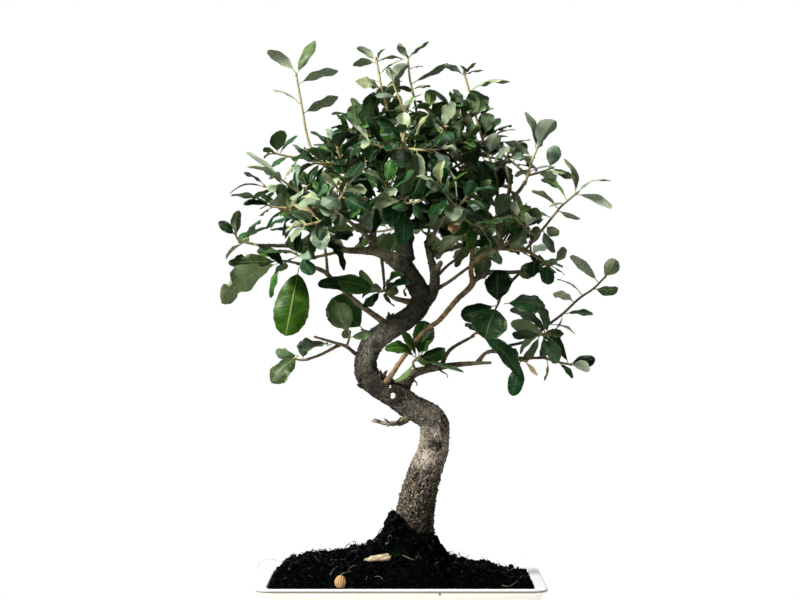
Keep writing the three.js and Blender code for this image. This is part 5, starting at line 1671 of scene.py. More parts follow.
@dataclass
class Foliage:
    """The leafy shoots, each in the place of its own node."""

    site: Site
    stems: dict[str, tuple[tuple[Row, ...], ...]]
    base_radius: float = 1.3
    tip_radius: float = 0.95
    large: LeafPattern = LeafPattern(20, (-1, -0.72, -0.38, -0.1, 0, 0.1, 0.38, 0.72, 1))
    small: LeafPattern = LeafPattern(14, teeth=5.0, tooth=0.09)
    large_from: float = 21.0
    noted_from: float = 14.0
    stalk_radius: float = 0.48
    bud: float = 3.2
    alike: float = 0.9
    dried: float = 0.005
    pale: float = 0.05
    sage_reach: float = 0.85
    turned_up_within: float = 1.25

    def build(self, finish: LeafFinish) -> list[Piece]:
        """Builds every shoot.

        Args:
            finish: The leaves' looks.

        Returns:
            One piece for each shoot.
        """
        dresses = [finish.top(), finish.under(), finish.stem()]
        reader = LeafReader(self.site)
        pieces = []
        for number, (name, stems) in enumerate(self.stems.items()):
            mass = Mass()
            leaves = reader.read(f"shoot_{name}")
            self._stems(mass, stems, number)
            for k, leaf in enumerate(leaves):
                self._leaf(mass, leaf, name, number * 61.7 + k)
            piece = mass.piece(f"leafy_shoot_{name}", self.site, dresses)
            pieces.append(hang(piece, f"shoot_{name}"))
            LOG.info("%s: %d leaves", piece.name, len(leaves))
        return pieces

    def _stems(self, mass: Mass, stems: tuple[tuple[Row, ...], ...], number: int) -> None:
        """Adds a shoot's stems, each with a bud at its end.

        Args:
            mass: What they are added to.
            stems: Rows of each stem.
            number: The shoot's number.
        """
        young = STRAW if stems[0][0][2] > YOUNG_FROM else TAN
        tone = young + (OLIVE - young) * hash_share(number, 5) * 0.6
        for rows in stems:
            path = self.site.seen(rows)
            share = np.linspace(0, 1, len(path))[:, None]
            radii = self.base_radius + (self.tip_radius - self.base_radius) * share
            table = np.hstack([path, radii])
            table[0, :3] -= unit(table[1, :3] - table[0, :3]) * 1.2
            points, faces = Rod(table, 7, 2.4).shape()
            wrinkle = cloud(points, 2.2, 2)[:, None] * 0.12
            points = points + wrinkle * unit(points - points.mean(axis=0))
            mass.add(points, faces, 2, tone=tone)
            ahead = unit(table[-1, :3] - table[-2, :3])
            ends = [table[-1, :3] + ahead * self.bud * k for k in (-0.2, 0.25, 0.6, 1.0)]
            radii = np.array([self.tip_radius, 1.05, 0.85, 0.2])[:, None]
            mass.add(*Rod(np.hstack([ends, radii]), 6, 1.0).shape(), 2, tone=BUD_BROWN)

    @staticmethod
    def _facing_out(leaf: LeafPlace) -> LeafPlace:
        """Turns a leaf over if its lower side would face out of the crown."""
        outward = unit((leaf.base + leaf.tip) / 2 - CROWN_MIDDLE)
        return replace(leaf, up=leaf.up if leaf.up @ unit(outward + (0, 0, 0.5)) > -0.15 else -leaf.up)

    def _note(self, leaf: LeafPlace, name: str, seed: float) -> LeafNote:
        """Gives a leaf's looks: the ones noted for its place, or else usual ones, paler towards the light.

        Args:
            leaf: Where it is.
            name: Name of its shoot.
            seed: Its own fixed number.

        Returns:
            The looks.
        """
        place = Site.photo_place((leaf.base + leaf.tip) / 2)
        for note in LEAF_NOTES:
            if math.dist(place, note.place) < note.within and leaf.length > self.noted_from:
                return note
        pick = hash_share(seed, 3)
        kind = USUAL_KINDS[int(hash_share(seed, 8) * 3.999)]
        if name in SHOOT_KINDS and pick < self.alike:
            kind = SHOOT_KINDS[name]
        elif pick > 1 - self.dried:
            kind = LeafKind.DRIED
        elif leaf.tip[2] > SAGE_FROM and pick < self._outwards(leaf) - self.sage_reach:
            kind = LeafKind.SAGE if pick > self.pale else LeafKind.PALE
        return LeafNote(place, kind, wider=0.5 if kind is LeafKind.DRIED else 1.0, unrest=1.0)

    @staticmethod
    def _outwards(leaf: LeafPlace) -> float:
        """Gives how far out in the crown a leaf grows, about 1 at its outside."""
        return float(np.linalg.norm((leaf.tip - CROWN_MIDDLE) / CROWN_REACH))

    def _leaf(self, mass: Mass, leaf: LeafPlace, name: str, seed: float) -> None:
        """Adds one leaf with its stalk.

        Args:
            mass: What it is added to.
            leaf: Where it is.
            name: Name of its shoot.
            seed: Its own fixed number.
        """
        leaf = self._facing_out(leaf)
        note = self._note(leaf, name, seed)
        if note.ends:
            base = self.site.pictured(*note.ends[:2], leaf.base[1])
            leaf = replace(leaf, base=base, tip=self.site.pictured(*note.ends[2:], leaf.tip[1]))
        pattern = self.large if leaf.length > self.large_from else self.small
        kind = note.kind
        if note.unrest == 1.0 and self._outwards(leaf) < self.turned_up_within:
            leaf = replace(leaf, up=unit(leaf.up + INNER_UP))
        points = pattern.blade(leaf, note, seed)
        along, across, _, upper, lower = pattern.grid()
        # Random tone, times painted shade: leaves further inside the crown are painted darker.
        random_tone_and_inner_shade = (0.7 + 0.5 * hash_share(seed, 1)) * min(1.0, 0.25 + 0.8 * self._outwards(leaf))
        warm = 1 + (hash_share(seed, 2) - 0.5) * np.array((0.35, 0.08, -0.25))
        carried = {
            "leaf": np.column_stack([along, across, np.full(len(along), seed)]),
            "tone": np.array(kind.top) * random_tone_and_inner_shade * warm,
            "under": np.array(kind.under) * (0.8 + 0.4 * hash_share(seed, 4)),
            "dry": note.dry,
            "rib": kind.rib * (0.6 + 0.8 * hash_share(seed, 7)),
        }
        mass.add(points, upper, 0, **carried)
        mass.add_faces(lower + mass.count - len(points), 1)
        axis = unit(leaf.tip - leaf.base)
        reach = leaf.length * pattern.stalk
        ends = [leaf.base - axis * 0.7, leaf.base + axis * reach * 0.5, leaf.base + axis * (reach + 1.2)]
        arch = leaf.up * leaf.length * 0.14
        rows = [[*(end + arch * lift), self.stalk_radius] for end, lift in zip(ends, (0, 0.07, 0.16))]
        tone = STALK_GREEN * (0.8 + 0.4 * hash_share(seed, 6))
        mass.add(*Rod(np.array(rows), 5, 2.2).shape(), 2, tone=tone)


def ovoid(size: Row, squareness: float, around: int, along: int) -> tuple[Array, Array]:
    """Builds an oval or a rounded block about the middle, with its poles on the y axis.

    Args:
        size: Its three sides.
        squareness: 1 is an oval, towards 0 it is a block.
        around: Faces round it.
        along: Faces from pole to pole.

    Returns:
        Points, and triangles.
    """
    turn = np.arange(around) / around * math.tau
    lean = (np.arange(1, along) / along - 0.5)[:, None] * math.pi

    def eased(value: Array) -> Array:
        """Pushes a sine towards a corner."""
        return np.sign(value) * np.abs(value) ** squareness

    high, wide = np.broadcast_arrays(eased(np.sin(lean)), turn)[0], eased(np.cos(lean))
    rings = np.stack([wide * eased(np.cos(turn)), high, wide * eased(np.sin(turn))], 2)
    points = np.vstack([rings.reshape(-1, 3), (0, -1, 0), (0, 1, 0)]) * (np.array(size) / 2)
    return points, closed_skin(along - 1, around)


def circle(radius: float, number: int) -> Array:
    """Gives the points of a level circle about the middle."""
    angle = np.arange(number) / number * math.tau
    return np.column_stack([np.cos(angle), np.sin(angle), np.zeros(number)]) * radius


def turned(points: Array, lean: float, turn: float, to: Sequence[float]) -> Array:
    """Leans points about x, turns them about z and moves them, in degrees and millimetres."""
    spin = Matrix.Rotation(math.radians(turn), 3, "Z") @ Matrix.Rotation(math.radians(lean), 3, "X")
    return points @ np.array(spin).T + np.asarray(to, float)


@dataclass(frozen=True)
class TraySize:
    """Sizes of the tray, in millimetres above height 0."""

    length: float = 256
    depth: float = 192
    rim: float = 8.9
    bottom: float = -48.6
    floor: float = -42.6
    foot: float = 7.0
    wall: float = 11.0
    taper: float = 7.0
    inner_corner: float = 8.0

    def drawn_in(self, z: float) -> float:
        """Gives how far the inner wall has drawn in at a height."""
        return self.taper * (self.rim - z) / (self.rim - self.bottom)


@dataclass(frozen=True)
class SoilFinish:
    """Dark, damp, fibrous soil with its roots, moss and straw."""

    roughness: float = 0.95

    def material(self) -> Material:
        """Builds the soil from the tone that each vertex carries.

        Returns:
            The material.
        """
        g = Graph("dark_fibrous_soil")
        place = g.place()
        clod = g.grain(place, 160, 4, 0.65)
        grit = g.grain(place, 900, 4, 0.75)
        thread = g.grain(g.stretched(g.warped(place, 60, 0.012), 0.28, 0.6, 1), 950, 3, 0.8)
        tone = g.shaded(g.vector("tone"), (clod * 1.4 + 0.25) * (grit * 1.5 + 0.2))
        tone = g.blend(thread.between(0.56, 0.70) * 0.40, tone, (0.055, 0.066, 0.066))
        tone = g.blend(grit.between(0.62, 0.7) * 0.04, tone, (0.20, 0.21, 0.20))
        normal = g.bump(clod + grit + thread * 0.5, 0.0022, 1.0)
        return g.surface(Base_Color=tone, Roughness=self.roughness, Specular_IOR_Level=0.0, Normal=normal)


SOIL_PROFILE = (
    (-118, -2), (-112, 4.5), (-101, 14.5), (-85, 19.5), (-57, 22), (-31, 27.5), (-23, 31.5), (-16, 41.5),
    (-9, 57.5), (0, 57.5), (24, 46.5), (29, 37.5), (36, 27.5), (42, 18.5), (51, 15.5), (66, 11.5),
    (76, 11.5), (92, 5.5), (112, 2), (118, -2),
)
SCOOPS = ((13, 15, -24, 13, 12), (9, -9, -64, 11, 14))
SOIL_BLACK = np.array((0.0008, 0.0012, 0.0011))
ROOT_BROWN = np.array((0.0045, 0.0052, 0.0050))
STRAW_TAN = np.array((0.55, 0.48, 0.33))
MOSS_GREEN = np.array((0.007, 0.020, 0.004))
STRAWS = (
    ((257, 571), (259, 565), (263, 562), (268, 560), (272, 560), (278, 562), (283, 566)),
    ((330, 576), (334, 571), (342, 567)),
    ((339, 577), (343, 574), (351, 572)),
    ((348, 571), (351, 568), (357, 566)),
    ((366, 581), (367, 577)),
    ((375, 580), (379, 577), (383, 580)),
    ((434, 571), (435, 565), (440, 562)),
    ((502, 586), (509, 587), (516, 583), (522, 579)),
    ((398, 555), (405, 557), (414, 561), (418, 556)),
    ((415, 546), (418, 549)),
)


@dataclass
class Soil:
    """The mound with its crumbs, fibres, moss and straw."""

    site: Site
    tray: TraySize
    columns: int = 160
    rows: int = 115
    crumbs: int = 2600
    clods: int = 1000
    fibres: int = 1000
    tufts: int = 120
    spilled: int = 1500
    seed: int = 11
    crumb_size: tuple[float, float] = (0.9, 2.6)
    clod_size: tuple[float, float] = (2.6, 6.4)
    fibre_length: tuple[float, float] = (2.5, 10)
    fibre_radius: tuple[float, float] = (0.22, 0.56)
    moss_place: tuple[float, float] = (395, 555)
    moss_spread: tuple[float, float] = (3.4, 2.2)
    scatter: tuple[float, float] = (112, 81)
    trunk_x: float = 12.0
    trunk_clear: float = 16.0

    def height(self, x: Array, y: Array) -> Array:
        """Gives the smooth height of the mound at places.

        Args:
            x: Across, in millimetres.
            y: Depth, in millimetres.

        Returns:
            The heights.
        """
        ridge = np.interp(x, *np.array(SOIL_PROFILE, float).T)
        across = np.clip(np.abs(y) / (self.tray.depth / 2 - self.tray.wall), 0, 1)
        slope = np.cos(math.pi / 2 * across**1.5)
        scoop = sum(
            deep * np.exp(-(((x - at_x) / wide) ** 2) - ((y - at_y) / far) ** 2)
            for deep, at_x, at_y, wide, far in SCOOPS
        )
        return np.maximum(self.tray.rim - 2 + (ridge + 2) * slope - scoop, self.tray.rim - 3.5)

    def build(self, finish: SoilFinish) -> Piece:
        """Builds the mound.

        Args:
            finish: The soil's looks.

        Returns:
            The piece.
        """
        chance = np.random.default_rng(self.seed)
        mass = Mass()
        self._body(mass)
        self._crumbs(mass, chance)
        self._spill(mass, chance)
        self._fibres(mass, chance)
        self._moss(mass, chance)
        for straw in STRAWS:
            self._straw(mass, straw)
        return hang(mass.piece("soil_heap", self.site, [finish.material()]), "soil_mound")

    def rough_height(self, x: Array, y: Array) -> Array:
        """Gives the height with its lumps.

        Args:
            x: Across, in millimetres.
            y: Depth, in millimetres.

        Returns:
            The heights.
        """
        places = np.column_stack([x, y, np.zeros_like(x)])
        lumps = cloud(places, 12, 2) * 2.2 + cloud(places + 50, 5.0, 3) * 3.2
        edge = np.clip((self.tray.depth / 2 - self.tray.wall - np.abs(y)) / 6, 0.25, 1)
        return self.height(x, y) + lumps * edge - 0.3

    def _body(self, mass: Mass) -> None:
        """Adds the closed body: a fine upper face, sides along the wall and a flat base.

        Args:
            mass: What it is added to.
        """
        half_x = self.tray.length / 2 - self.tray.wall - 0.8
        half_y = self.tray.depth / 2 - self.tray.wall - 0.8
        v, u = np.meshgrid(np.linspace(-1, 1, self.rows), np.linspace(-1, 1, self.columns), indexing="ij")
        y = v * half_y
        past = np.clip(np.abs(y) - (half_y - self.tray.inner_corner), 0, self.tray.inner_corner)
        x = u * (half_x - self.tray.inner_corner + np.sqrt(self.tray.inner_corner**2 - past**2))
        top = np.column_stack([x.ravel(), y.ravel(), self.rough_height(x.ravel(), y.ravel())])
        k, i = np.meshgrid(np.arange(self.rows - 1), np.arange(self.columns - 1), indexing="ij")
        a = (k * self.columns + i).ravel()
        quads = np.stack([a, a + 1, a + 1 + self.columns, a + self.columns], 1)
        grid = np.arange(self.rows * self.columns).reshape(self.rows, self.columns)
        rim = np.concatenate([grid[0], grid[1:, -1], grid[-1, -2::-1], grid[-2:0:-1, 0]])
        low = top[rim].copy()
        low[:, :2] *= 1 - self.tray.drawn_in(self.tray.floor + 3) / np.array((half_x, half_y))
        low[:, 2] = self.tray.floor + 0.4
        number = len(rim)
        first = np.arange(number)
        after = (first + 1) % number
        start = len(top)
        sides = np.stack([rim[first], start + first, start + after, rim[after]], 1)
        tone = SOIL_BLACK * (1 + 0.4 * cloud(top, 9, 2))[:, None]
        tones = np.vstack([tone, np.tile(SOIL_BLACK, (number, 1))])
        mass.add(np.vstack([top, low]), np.vstack([quads, sides]), 0, tone=tones)
        mass.add_faces([start + first[::-1]])

    def _spots(self, chance: np.random.Generator, number: int) -> tuple[Array, Array]:
        """Scatters places over the mound, clear of the trunk.

        Args:
            chance: Source of the random numbers.
            number: How many places are tried.

        Returns:
            Across and depth of each place, in millimetres.
        """
        far_x, far_y = self.scatter
        x = chance.uniform(-far_x, far_x, number)
        y = chance.uniform(-far_y, far_y, number) * np.sqrt(chance.uniform(0.1, 1, number))
        clear = np.hypot(x - self.trunk_x, y) > self.trunk_clear
        return x[clear], y[clear]

    def _crumbs(self, mass: Mass, chance: np.random.Generator) -> None:
        """Scatters crumbs and clods.

        Args:
            mass: What they are added to.
            chance: Source of the random numbers.
        """
        kinds = (self.crumbs, self.crumb_size, (4, 3)), (self.clods, self.clod_size, (6, 4))
        for number, sizes, facets in kinds:
            points, faces = ovoid((1, 1, 1), 0.85, *facets)
            x, y = self._spots(chance, number)
            z = self.rough_height(x, y)
            for k in range(len(x)):
                size = chance.uniform(*sizes) * chance.uniform(0.6, 1.15, 3)
                shape = points * size
                shape = shape * (1 + cloud(shape + k * 7.3, size.max() * 0.5, 2) * 0.4)[:, None]
                shape = turned(shape, chance.uniform(0, 360), chance.uniform(0, 360), (x[k], y[k], z[k]))
                tone = SOIL_BLACK * chance.uniform(0.5, 1.5) + ROOT_BROWN * chance.uniform(0, 1) ** 3 * 2
                mass.add(shape, faces, 0, tone=tone)

    def _spill(self, mass: Mass, chance: np.random.Generator) -> None:
        """Spreads fine crumbs over the inner part of the front rim.

        Args:
            mass: What they are added to.
            chance: Source of the random numbers.
        """
        points, faces = ovoid((1, 1, 1), 0.85, 4, 3)
        for _ in range(self.spilled):
            size = chance.uniform(0.9, 1.9, 3) * (1.5, 1, 0.5)
            spot = (chance.uniform(-115, 115), chance.uniform(-93.4, -84.5), self.tray.rim + 0.12)
            mass.add(turned(points * size, 0, chance.uniform(-20, 20), spot), faces, 0, tone=SOIL_BLACK)

    def _fibres(self, mass: Mass, chance: np.random.Generator) -> None:
        """Scatters fine roots that lie on the mound or bow out of it.

        Args:
            mass: What they are added to.
            chance: Source of the random numbers.
        """
        x, y = self._spots(chance, self.fibres)
        for k in range(len(x)):
            length = chance.uniform(*self.fibre_length)
            turn = chance.uniform(0, math.tau)
            bend = chance.uniform(-0.8, 0.8)
            share = np.linspace(-0.5, 0.5, 5)
            angle = turn + bend * share
            fx = x[k] + np.cos(angle) * share * length
            fy = np.clip(y[k] + np.sin(angle) * share * length, -83, 83)
            rise = chance.uniform(0, 1) ** 2 * 0.8
            fz = self.rough_height(fx, fy) + (share + 0.5) * length * rise + 0.25
            radius = chance.uniform(*self.fibre_radius) * np.array((1, 1, 0.9, 0.7, 0.3))
            pale = chance.uniform(0, 1) ** 14 * 0.4
            tone = (ROOT_BROWN + (STRAW_TAN - ROOT_BROWN) * pale) * chance.uniform(0.6, 1.8) ** 2
            mass.add(*Rod(np.column_stack([fx, fy, fz, radius]), 3, 2.6).shape(), 0, tone=tone)

    def on_surface(self, across: float, down: float) -> Array:
        """Finds the point of the mound that shows at a photo place.

        Args:
            across: Pixels from the left.
            down: Pixels from the top.

        Returns:
            The true point.
        """
        for depth in np.linspace(-83, 80, 330):
            point = self.site.pictured(across, down, depth)
            if point[2] <= self.height(point[:1], point[1:2])[0]:
                return point
        return point

    def _straw(self, mass: Mass, places: Sequence[tuple[float, float]]) -> None:
        """Lays a pale straw or rootlet through photo places.

        Args:
            mass: What it is added to.
            places: The places, in pixels.
        """
        points = np.array([self.on_surface(*place) for place in places])
        points[:, 2] = np.maximum(points[:, 2], self.rough_height(points[:, 0], points[:, 1])) + 0.5
        radii = np.full((len(points), 1), 0.15)
        radii[-1] = 0.08
        mass.add(*Rod(np.hstack([points, radii]), 6, 1.2).shape(), 0, tone=STRAW_TAN)

    def _moss(self, mass: Mass, chance: np.random.Generator) -> None:
        """Sets small tufts of moss in the patch at the foot of the trunk.

        Args:
            mass: What they are added to.
            chance: Source of the random numbers.
        """
        for _ in range(self.tufts):
            spot = self.on_surface(*chance.normal(self.moss_place, self.moss_spread))
            lean = chance.normal(0, 0.5, 2)
            tall = chance.uniform(0.8, 2.0)
            end = spot + (lean[0] * tall, lean[1] * tall, tall)
            rows = np.array([[*spot, 0.35], [*((spot + end) / 2), 0.3], [*end, 0.12]])
            mass.add(*Rod(rows, 4, 1.0).shape(), 0, tone=MOSS_GREEN * chance.uniform(0.5, 1.6))


@dataclass(frozen=True)
class LitterFinish:
    """Dry plant litter: a ridged husk or a splintered chip."""

    name: str
    tone: Colour
    dark: Colour
    grain_run: tuple[float, float, float]
    # Painted shade: colour of the low places between ridges.
    groove: Colour = (0.10, 0.05, 0.015)
    roughness: float = 0.7

    def material(self) -> Material:
        """Builds the dry fibre.

        Returns:
            The material.
        """
        g = Graph(self.name)
        place = g.place()
        fibre = g.grain(g.stretched(place, *self.grain_run), 1200, 4, 0.7)
        patch = g.grain(place, 320, 3, 0.6)
        tone = g.blend((fibre * 0.8 + patch * 0.6 - 0.2).between(0.2, 0.75), self.dark, self.tone)
        # Painted shade: the low places between ridges are darkened towards the groove colour.
        tone = g.blend(g.value("hollow").between(0.55, 0.95) * 0.9, tone, self.groove)
        normal = g.bump(fibre + patch * 0.5, 0.0005, 0.9)
        return g.surface(Base_Color=tone, Roughness=self.roughness, Normal=normal)


@dataclass
class Litter:
    """The husk at the front rim and the chip on the mound."""

    site: Site
    soil: Soil
    husk_size: Row = (9.8, 12.4, 5.2)
    husk_place: Row = (-52.6, -79.5, 13.5)
    husk_turn: tuple[float, float] = (66, 4)
    husk_ridges: int = 11
    chip_size: Row = (20.5, 8.5, 3.0)
    chip_place: tuple[float, float] = (-20, -58)
    chip_turn: tuple[float, float] = (34, 6)
    chip_lift: float = 4.2
    chip_rise: float = 0.16

    def build(self, husk: LitterFinish, chip: LitterFinish) -> list[Piece]:
        """Builds both.

        Args:
            husk: The husk's looks.
            chip: The chip's looks.

        Returns:
            The two pieces.
        """
        return [
            hang(self._husk(husk.material()), "seed_husk"),
            hang(self._chip(chip.material()), "bark_chip"),
        ]

    def _husk(self, material: Material) -> Piece:
        """Builds the husk, an oval with ridges from end to end.

        Args:
            material: What it is made of.

        Returns:
            The piece.
        """
        points, faces = ovoid(self.husk_size, 1, self.husk_ridges * 6, 26)
        angle = np.arctan2(points[:, 2] * self.husk_size[0], points[:, 0] * self.husk_size[2])
        fade = np.sqrt(np.clip(1 - (points[:, 1] * 2 / self.husk_size[1]) ** 2, 0, 1))
        wave = np.cos(angle * self.husk_ridges + 3.4 * cloud(points, 4, 3))
        ridge = 1 + 0.08 * wave * fade + 0.16 * cloud(points, 3, 3)
        points = points * np.column_stack([ridge, np.ones_like(ridge), ridge])
        mass = Mass()
        mass.add(turned(points, *self.husk_turn, self.husk_place), faces, hollow=0.5 - 0.5 * wave * fade)
        return mass.piece("ridged_husk", self.site, [material])

    def _chip(self, material: Material) -> Piece:
        """Builds the chip, a slab with splintered ends.

        Args:
            material: What it is made of.

        Returns:
            The piece.
        """
        long, wide, thick = self.chip_size
        points, faces = ovoid((wide, long, thick), 0.45, 60, 44)
        points = points[:, [1, 0, 2]] * (1, -1, 1)
        along = points[:, 0] / (long / 2)
        splinter = cloud(points * (0.12, 1, 1) + 5, 1.0, 3)
        points[:, 0] *= 1 + 0.42 * splinter * np.abs(along)
        points[:, 1:] *= (0.72 + 0.38 * along + 0.16 * cloud(points * (1, 0.2, 0.2), 4.0, 2))[:, None]
        groove = cloud(points * (0.2, 1, 1) + 9, 2.0, 3)
        points += groove[:, None] * np.array((0, 0.6, 1.3))
        points[:, 2] += points[:, 0] * self.chip_rise
        x, y = self.chip_place
        z = self.soil.height(np.array([x]), np.array([y]))[0] + self.chip_lift
        mass = Mass()
        mass.add(turned(points, *self.chip_turn, (x, y, z)), faces, hollow=np.clip(0.5 - groove, 0, 1))
        return mass.piece("splintered_chip", self.site, [material])


@dataclass(frozen=True)
class GlazeFinish:
    """Cream glaze, glossy, with a painted white highlight along the top of the rim, a dark brown band on the
    lip that is partly painted shade under the lip and partly glaze broken brown at the edge, a brown drip
    and faint yellow runs.
    """

    cream: Colour = (0.87, 0.865, 0.76)
    # Dark brown of the lip band, partly painted shade under the lip, and of the drip.
    lip_shade_and_drip_brown: Colour = (0.13, 0.095, 0.055)
    # Painted highlight: the white that the top of the rim is painted.
    worn: Colour = (1.0, 1.0, 1.0)
    clay: Colour = (0.42, 0.27, 0.16)
    run: Colour = (0.86, 0.80, 0.52)
    haze: Colour = (0.84, 0.83, 0.76)
    speck: Colour = (0.36, 0.26, 0.16)
    rim_highlight_below: tuple[float, float] = (2.6, 1.2)
    drip_x: float = 33.6
    roughness: float = 0.24
    coat_roughness: float = 0.12

    def material(self, site: Site, tray: TraySize) -> Material:
        """Builds the glaze.

        Args:
            site: Where the tray stands.
            tray: Its sizes.

        Returns:
            The material.
        """
        g = Graph("cream_glaze")
        place = g.place()
        x, _, z = g.parts(place)
        high = (z - site.zero_z) * (1 / MM)
        haze = g.grain(place, 60, 4, 0.6)
        speck = g.cells(place, 420)
        run = g.grain(g.stretched(place, 1, 1, 0.06), 220, 3, 0.6)
        tone = g.blend(run.between(0.56, 0.75) * 0.5, self.cream, self.run)
        tone = g.blend(haze.between(0.5, 0.7) * 0.3, tone, self.haze)
        tone = g.blend(speck.between(0.16, 0.10) * haze.between(0.5, 0.6) * 0.6, tone, self.speck)
        lip_band_noise = g.grain(g.stretched(place, 1, 1, 3.0), 170, 4, 0.7)
        # Lip band: partly painted shade under the lip, partly glaze broken brown at the edge.
        band = high.between(4.5, 5.6) * high.between(7.8, 7.0)
        highlight_from, highlight_full = self.rim_highlight_below
        # Painted highlight: the rim's top and upper lip are painted pure white.
        tone = g.blend(high.between(tray.rim - highlight_from, tray.rim - highlight_full), tone, self.worn)
        lip_shade_and_drip = band * (lip_band_noise * 0.9 + 0.45).between(0.25, 0.8)
        across = (x - site.middle_x) * (1 / MM)
        drip = abs(across - self.drip_x).between(1.6, 0.6) * high.between(2.6, 3.6)
        lip_shade_and_drip = lip_shade_and_drip + drip * high.between(5.6, 5.0)
        # The lip band, partly painted shade, and the drip turn dark brown.
        tone = g.blend(lip_shade_and_drip * 0.95, tone, self.lip_shade_and_drip_brown)
        bare = high.between(tray.bottom + 0.8, tray.bottom + 0.1)
        tone = g.blend(bare, tone, self.clay)
        rough = (lip_shade_and_drip * 0.35 + bare * 0.5 + haze * 0.1) + self.roughness
        normal = g.bump(haze * 0.7 + run * 0.3 + lip_band_noise * lip_shade_and_drip, 0.0006, 0.35)
        coat = (1 - bare) * 0.6
        coat_rough = self.coat_roughness
        return g.surface(
            Base_Color=tone, Roughness=rough, Coat_Weight=coat, Coat_Roughness=coat_rough, Normal=normal
        )


@dataclass
class Tray:
    """The glazed rectangular tray on four feet, open at the drainage holes."""

    site: Site
    size: TraySize
    corner_steps: int = 12
    side_steps: int = 6
    drain: float = 9.0
    drain_offset: float = 62.0
    foot_size: tuple[float, float] = (36, 22)
    foot_inset: float = 9.0

    def build(self, finish: GlazeFinish) -> Piece:
        """Builds the tray.

        Args:
            finish: The glaze.

        Returns:
            The piece.
        """
        size = self.size
        low, rim, wall = size.bottom, size.rim, size.wall
        outer = [
            (22, 4, low), (14, 11, low), (11, 13, low + 3), (4.6, 13, rim - 4.4), (0.6, 14, rim - 3.2),
            (0, 14, rim - 1), (1, 13, rim), (10, 9, rim), (11, 8, rim - 1),
            (wall + size.drawn_in(size.floor + 3), 8, size.floor + 3),
            (wall + size.drawn_in(size.floor) + 3, 7, size.floor), (28, 4, size.floor),
        ]
        profile = self.softened(np.array(outer, float), 1.15)
        half = np.array((size.length, size.depth)) / 2
        mass = Mass()
        self._loft(mass, [self._ring(*(half - inset), radius, z) for inset, radius, z in profile])
        piece = mass.piece("glazed_tray", self.site, [finish.material(self.site, size)])
        self._drill(piece)
        self._add_feet(piece)
        piece.data.set_sharp_from_angle(angle=math.radians(38))
        return hang(piece, "pot")

    @staticmethod
    def softened(rows: Array, reach: float) -> Array:
        """Rounds the corners of a profile.

        Args:
            rows: Rows of inset, corner radius and height.
            reach: How far from a corner the rounding starts, at most.

        Returns:
            The rows with an arc at every inner corner.
        """
        made = [rows[0]]
        for before, corner, after in zip(rows, rows[1:], rows[2:]):
            back, ahead = before - corner, after - corner
            start = corner + back * min(0.48, reach / np.linalg.norm(back))
            end = corner + ahead * min(0.48, reach / np.linalg.norm(ahead))
            t = np.linspace(0, 1, 6)[:, None]
            made += list((1 - t) ** 2 * start + 2 * t * (1 - t) * corner + t * t * end)
        return np.array([*made, rows[-1]])

    def _ring(self, half_x: float, half_y: float, radius: float, z: float) -> Array:
        """Gives one rounded rectangle.

        Args:
            half_x: Half its length.
            half_y: Half its depth.
            radius: Radius of its corners.
            z: Its height.

        Returns:
            Its points.
        """
        made = []
        for corner, (sx, sy) in enumerate(((1, 1), (-1, 1), (-1, -1), (1, -1))):
            angle = math.pi / 2 * (corner + np.arange(self.corner_steps + 1) / self.corner_steps)
            x = sx * (half_x - radius) + radius * np.cos(angle)
            y = sy * (half_y - radius) + radius * np.sin(angle)
            made.append(np.column_stack([x, y, np.full_like(x, z)]))
        closed = [*made, made[0]]
        full = []
        for arc, following in zip(closed, closed[1:]):
            share = np.linspace(0, 1, self.side_steps + 1)[1:-1, None]
            full += [arc, arc[-1] + (following[0] - arc[-1]) * share]
        return np.vstack(full)

    @staticmethod
    def _loft(mass: Mass, rings: list[Array]) -> None:
        """Joins rings into a closed body with flat ends.

        Args:
            mass: What it is added to.
            rings: The rings, all with the same number of points.
        """
        number = len(rings[0])
        i = np.arange(number)
        j = (i + 1) % number
        start = mass.count
        quads = [
            np.stack([i + k * number, j + k * number, j + (k + 1) * number, i + (k + 1) * number], 1)
            for k in range(len(rings) - 1)
        ]
        mass.add(np.vstack(rings), np.vstack(quads))
        mass.add_faces([start + i[::-1], start + (len(rings) - 1) * number + i])

    def _drill(self, piece: Piece) -> None:
        """Cuts the drainage holes through the floor.

        Args:
            piece: The tray.
        """
        drills = Mass()
        for side in (-1, 1):
            middle = np.array((side * self.drain_offset, 0, self.size.floor))
            self._loft(drills, [circle(self.drain, 48) + middle + (0, 0, z) for z in (-12, 6)])
        tool = drills.piece("drill", self.site, [])
        cut = piece.modifiers.new("drainage", "BOOLEAN")
        cut.operation = "DIFFERENCE"
        cut.solver = "EXACT"
        cut.object = tool
        fix_modifiers(piece)
        bpy.data.objects.remove(tool)

    def _add_feet(self, piece: Piece) -> None:
        """Adds the four feet to the tray's mesh.

        Args:
            piece: The tray.
        """
        feet = Mass()
        across, deep = self.foot_size
        for sx in (-1, 1):
            for sy in (-1, 1):
                x = sx * (self.size.length / 2 - self.size.wall - self.foot_inset - across / 2)
                y = sy * (self.size.depth / 2 - self.size.wall - self.foot_inset - deep / 2)
                base = self.size.bottom - self.size.foot
                rows = (4, 1, base), (0.6, 2.4, base), (0, 3, base + 1.2), (0, 3, self.size.bottom + 1)
                profile = self.softened(np.array(rows), 0.6)
                rings = [self._ring(across / 2 - i, deep / 2 - i, r, z) + (x, y, 0) for i, r, z in profile]
                self._loft(feet, rings)
        made = feet.piece("feet", self.site, [])
        joined = bmesh.new()
        joined.from_mesh(piece.data)
        joined.from_mesh(made.data)
        joined.to_mesh(piece.data)
        joined.free()
        piece.data.polygons.foreach_set("use_smooth", [True] * len(piece.data.polygons))
        bpy.data.objects.remove(made)


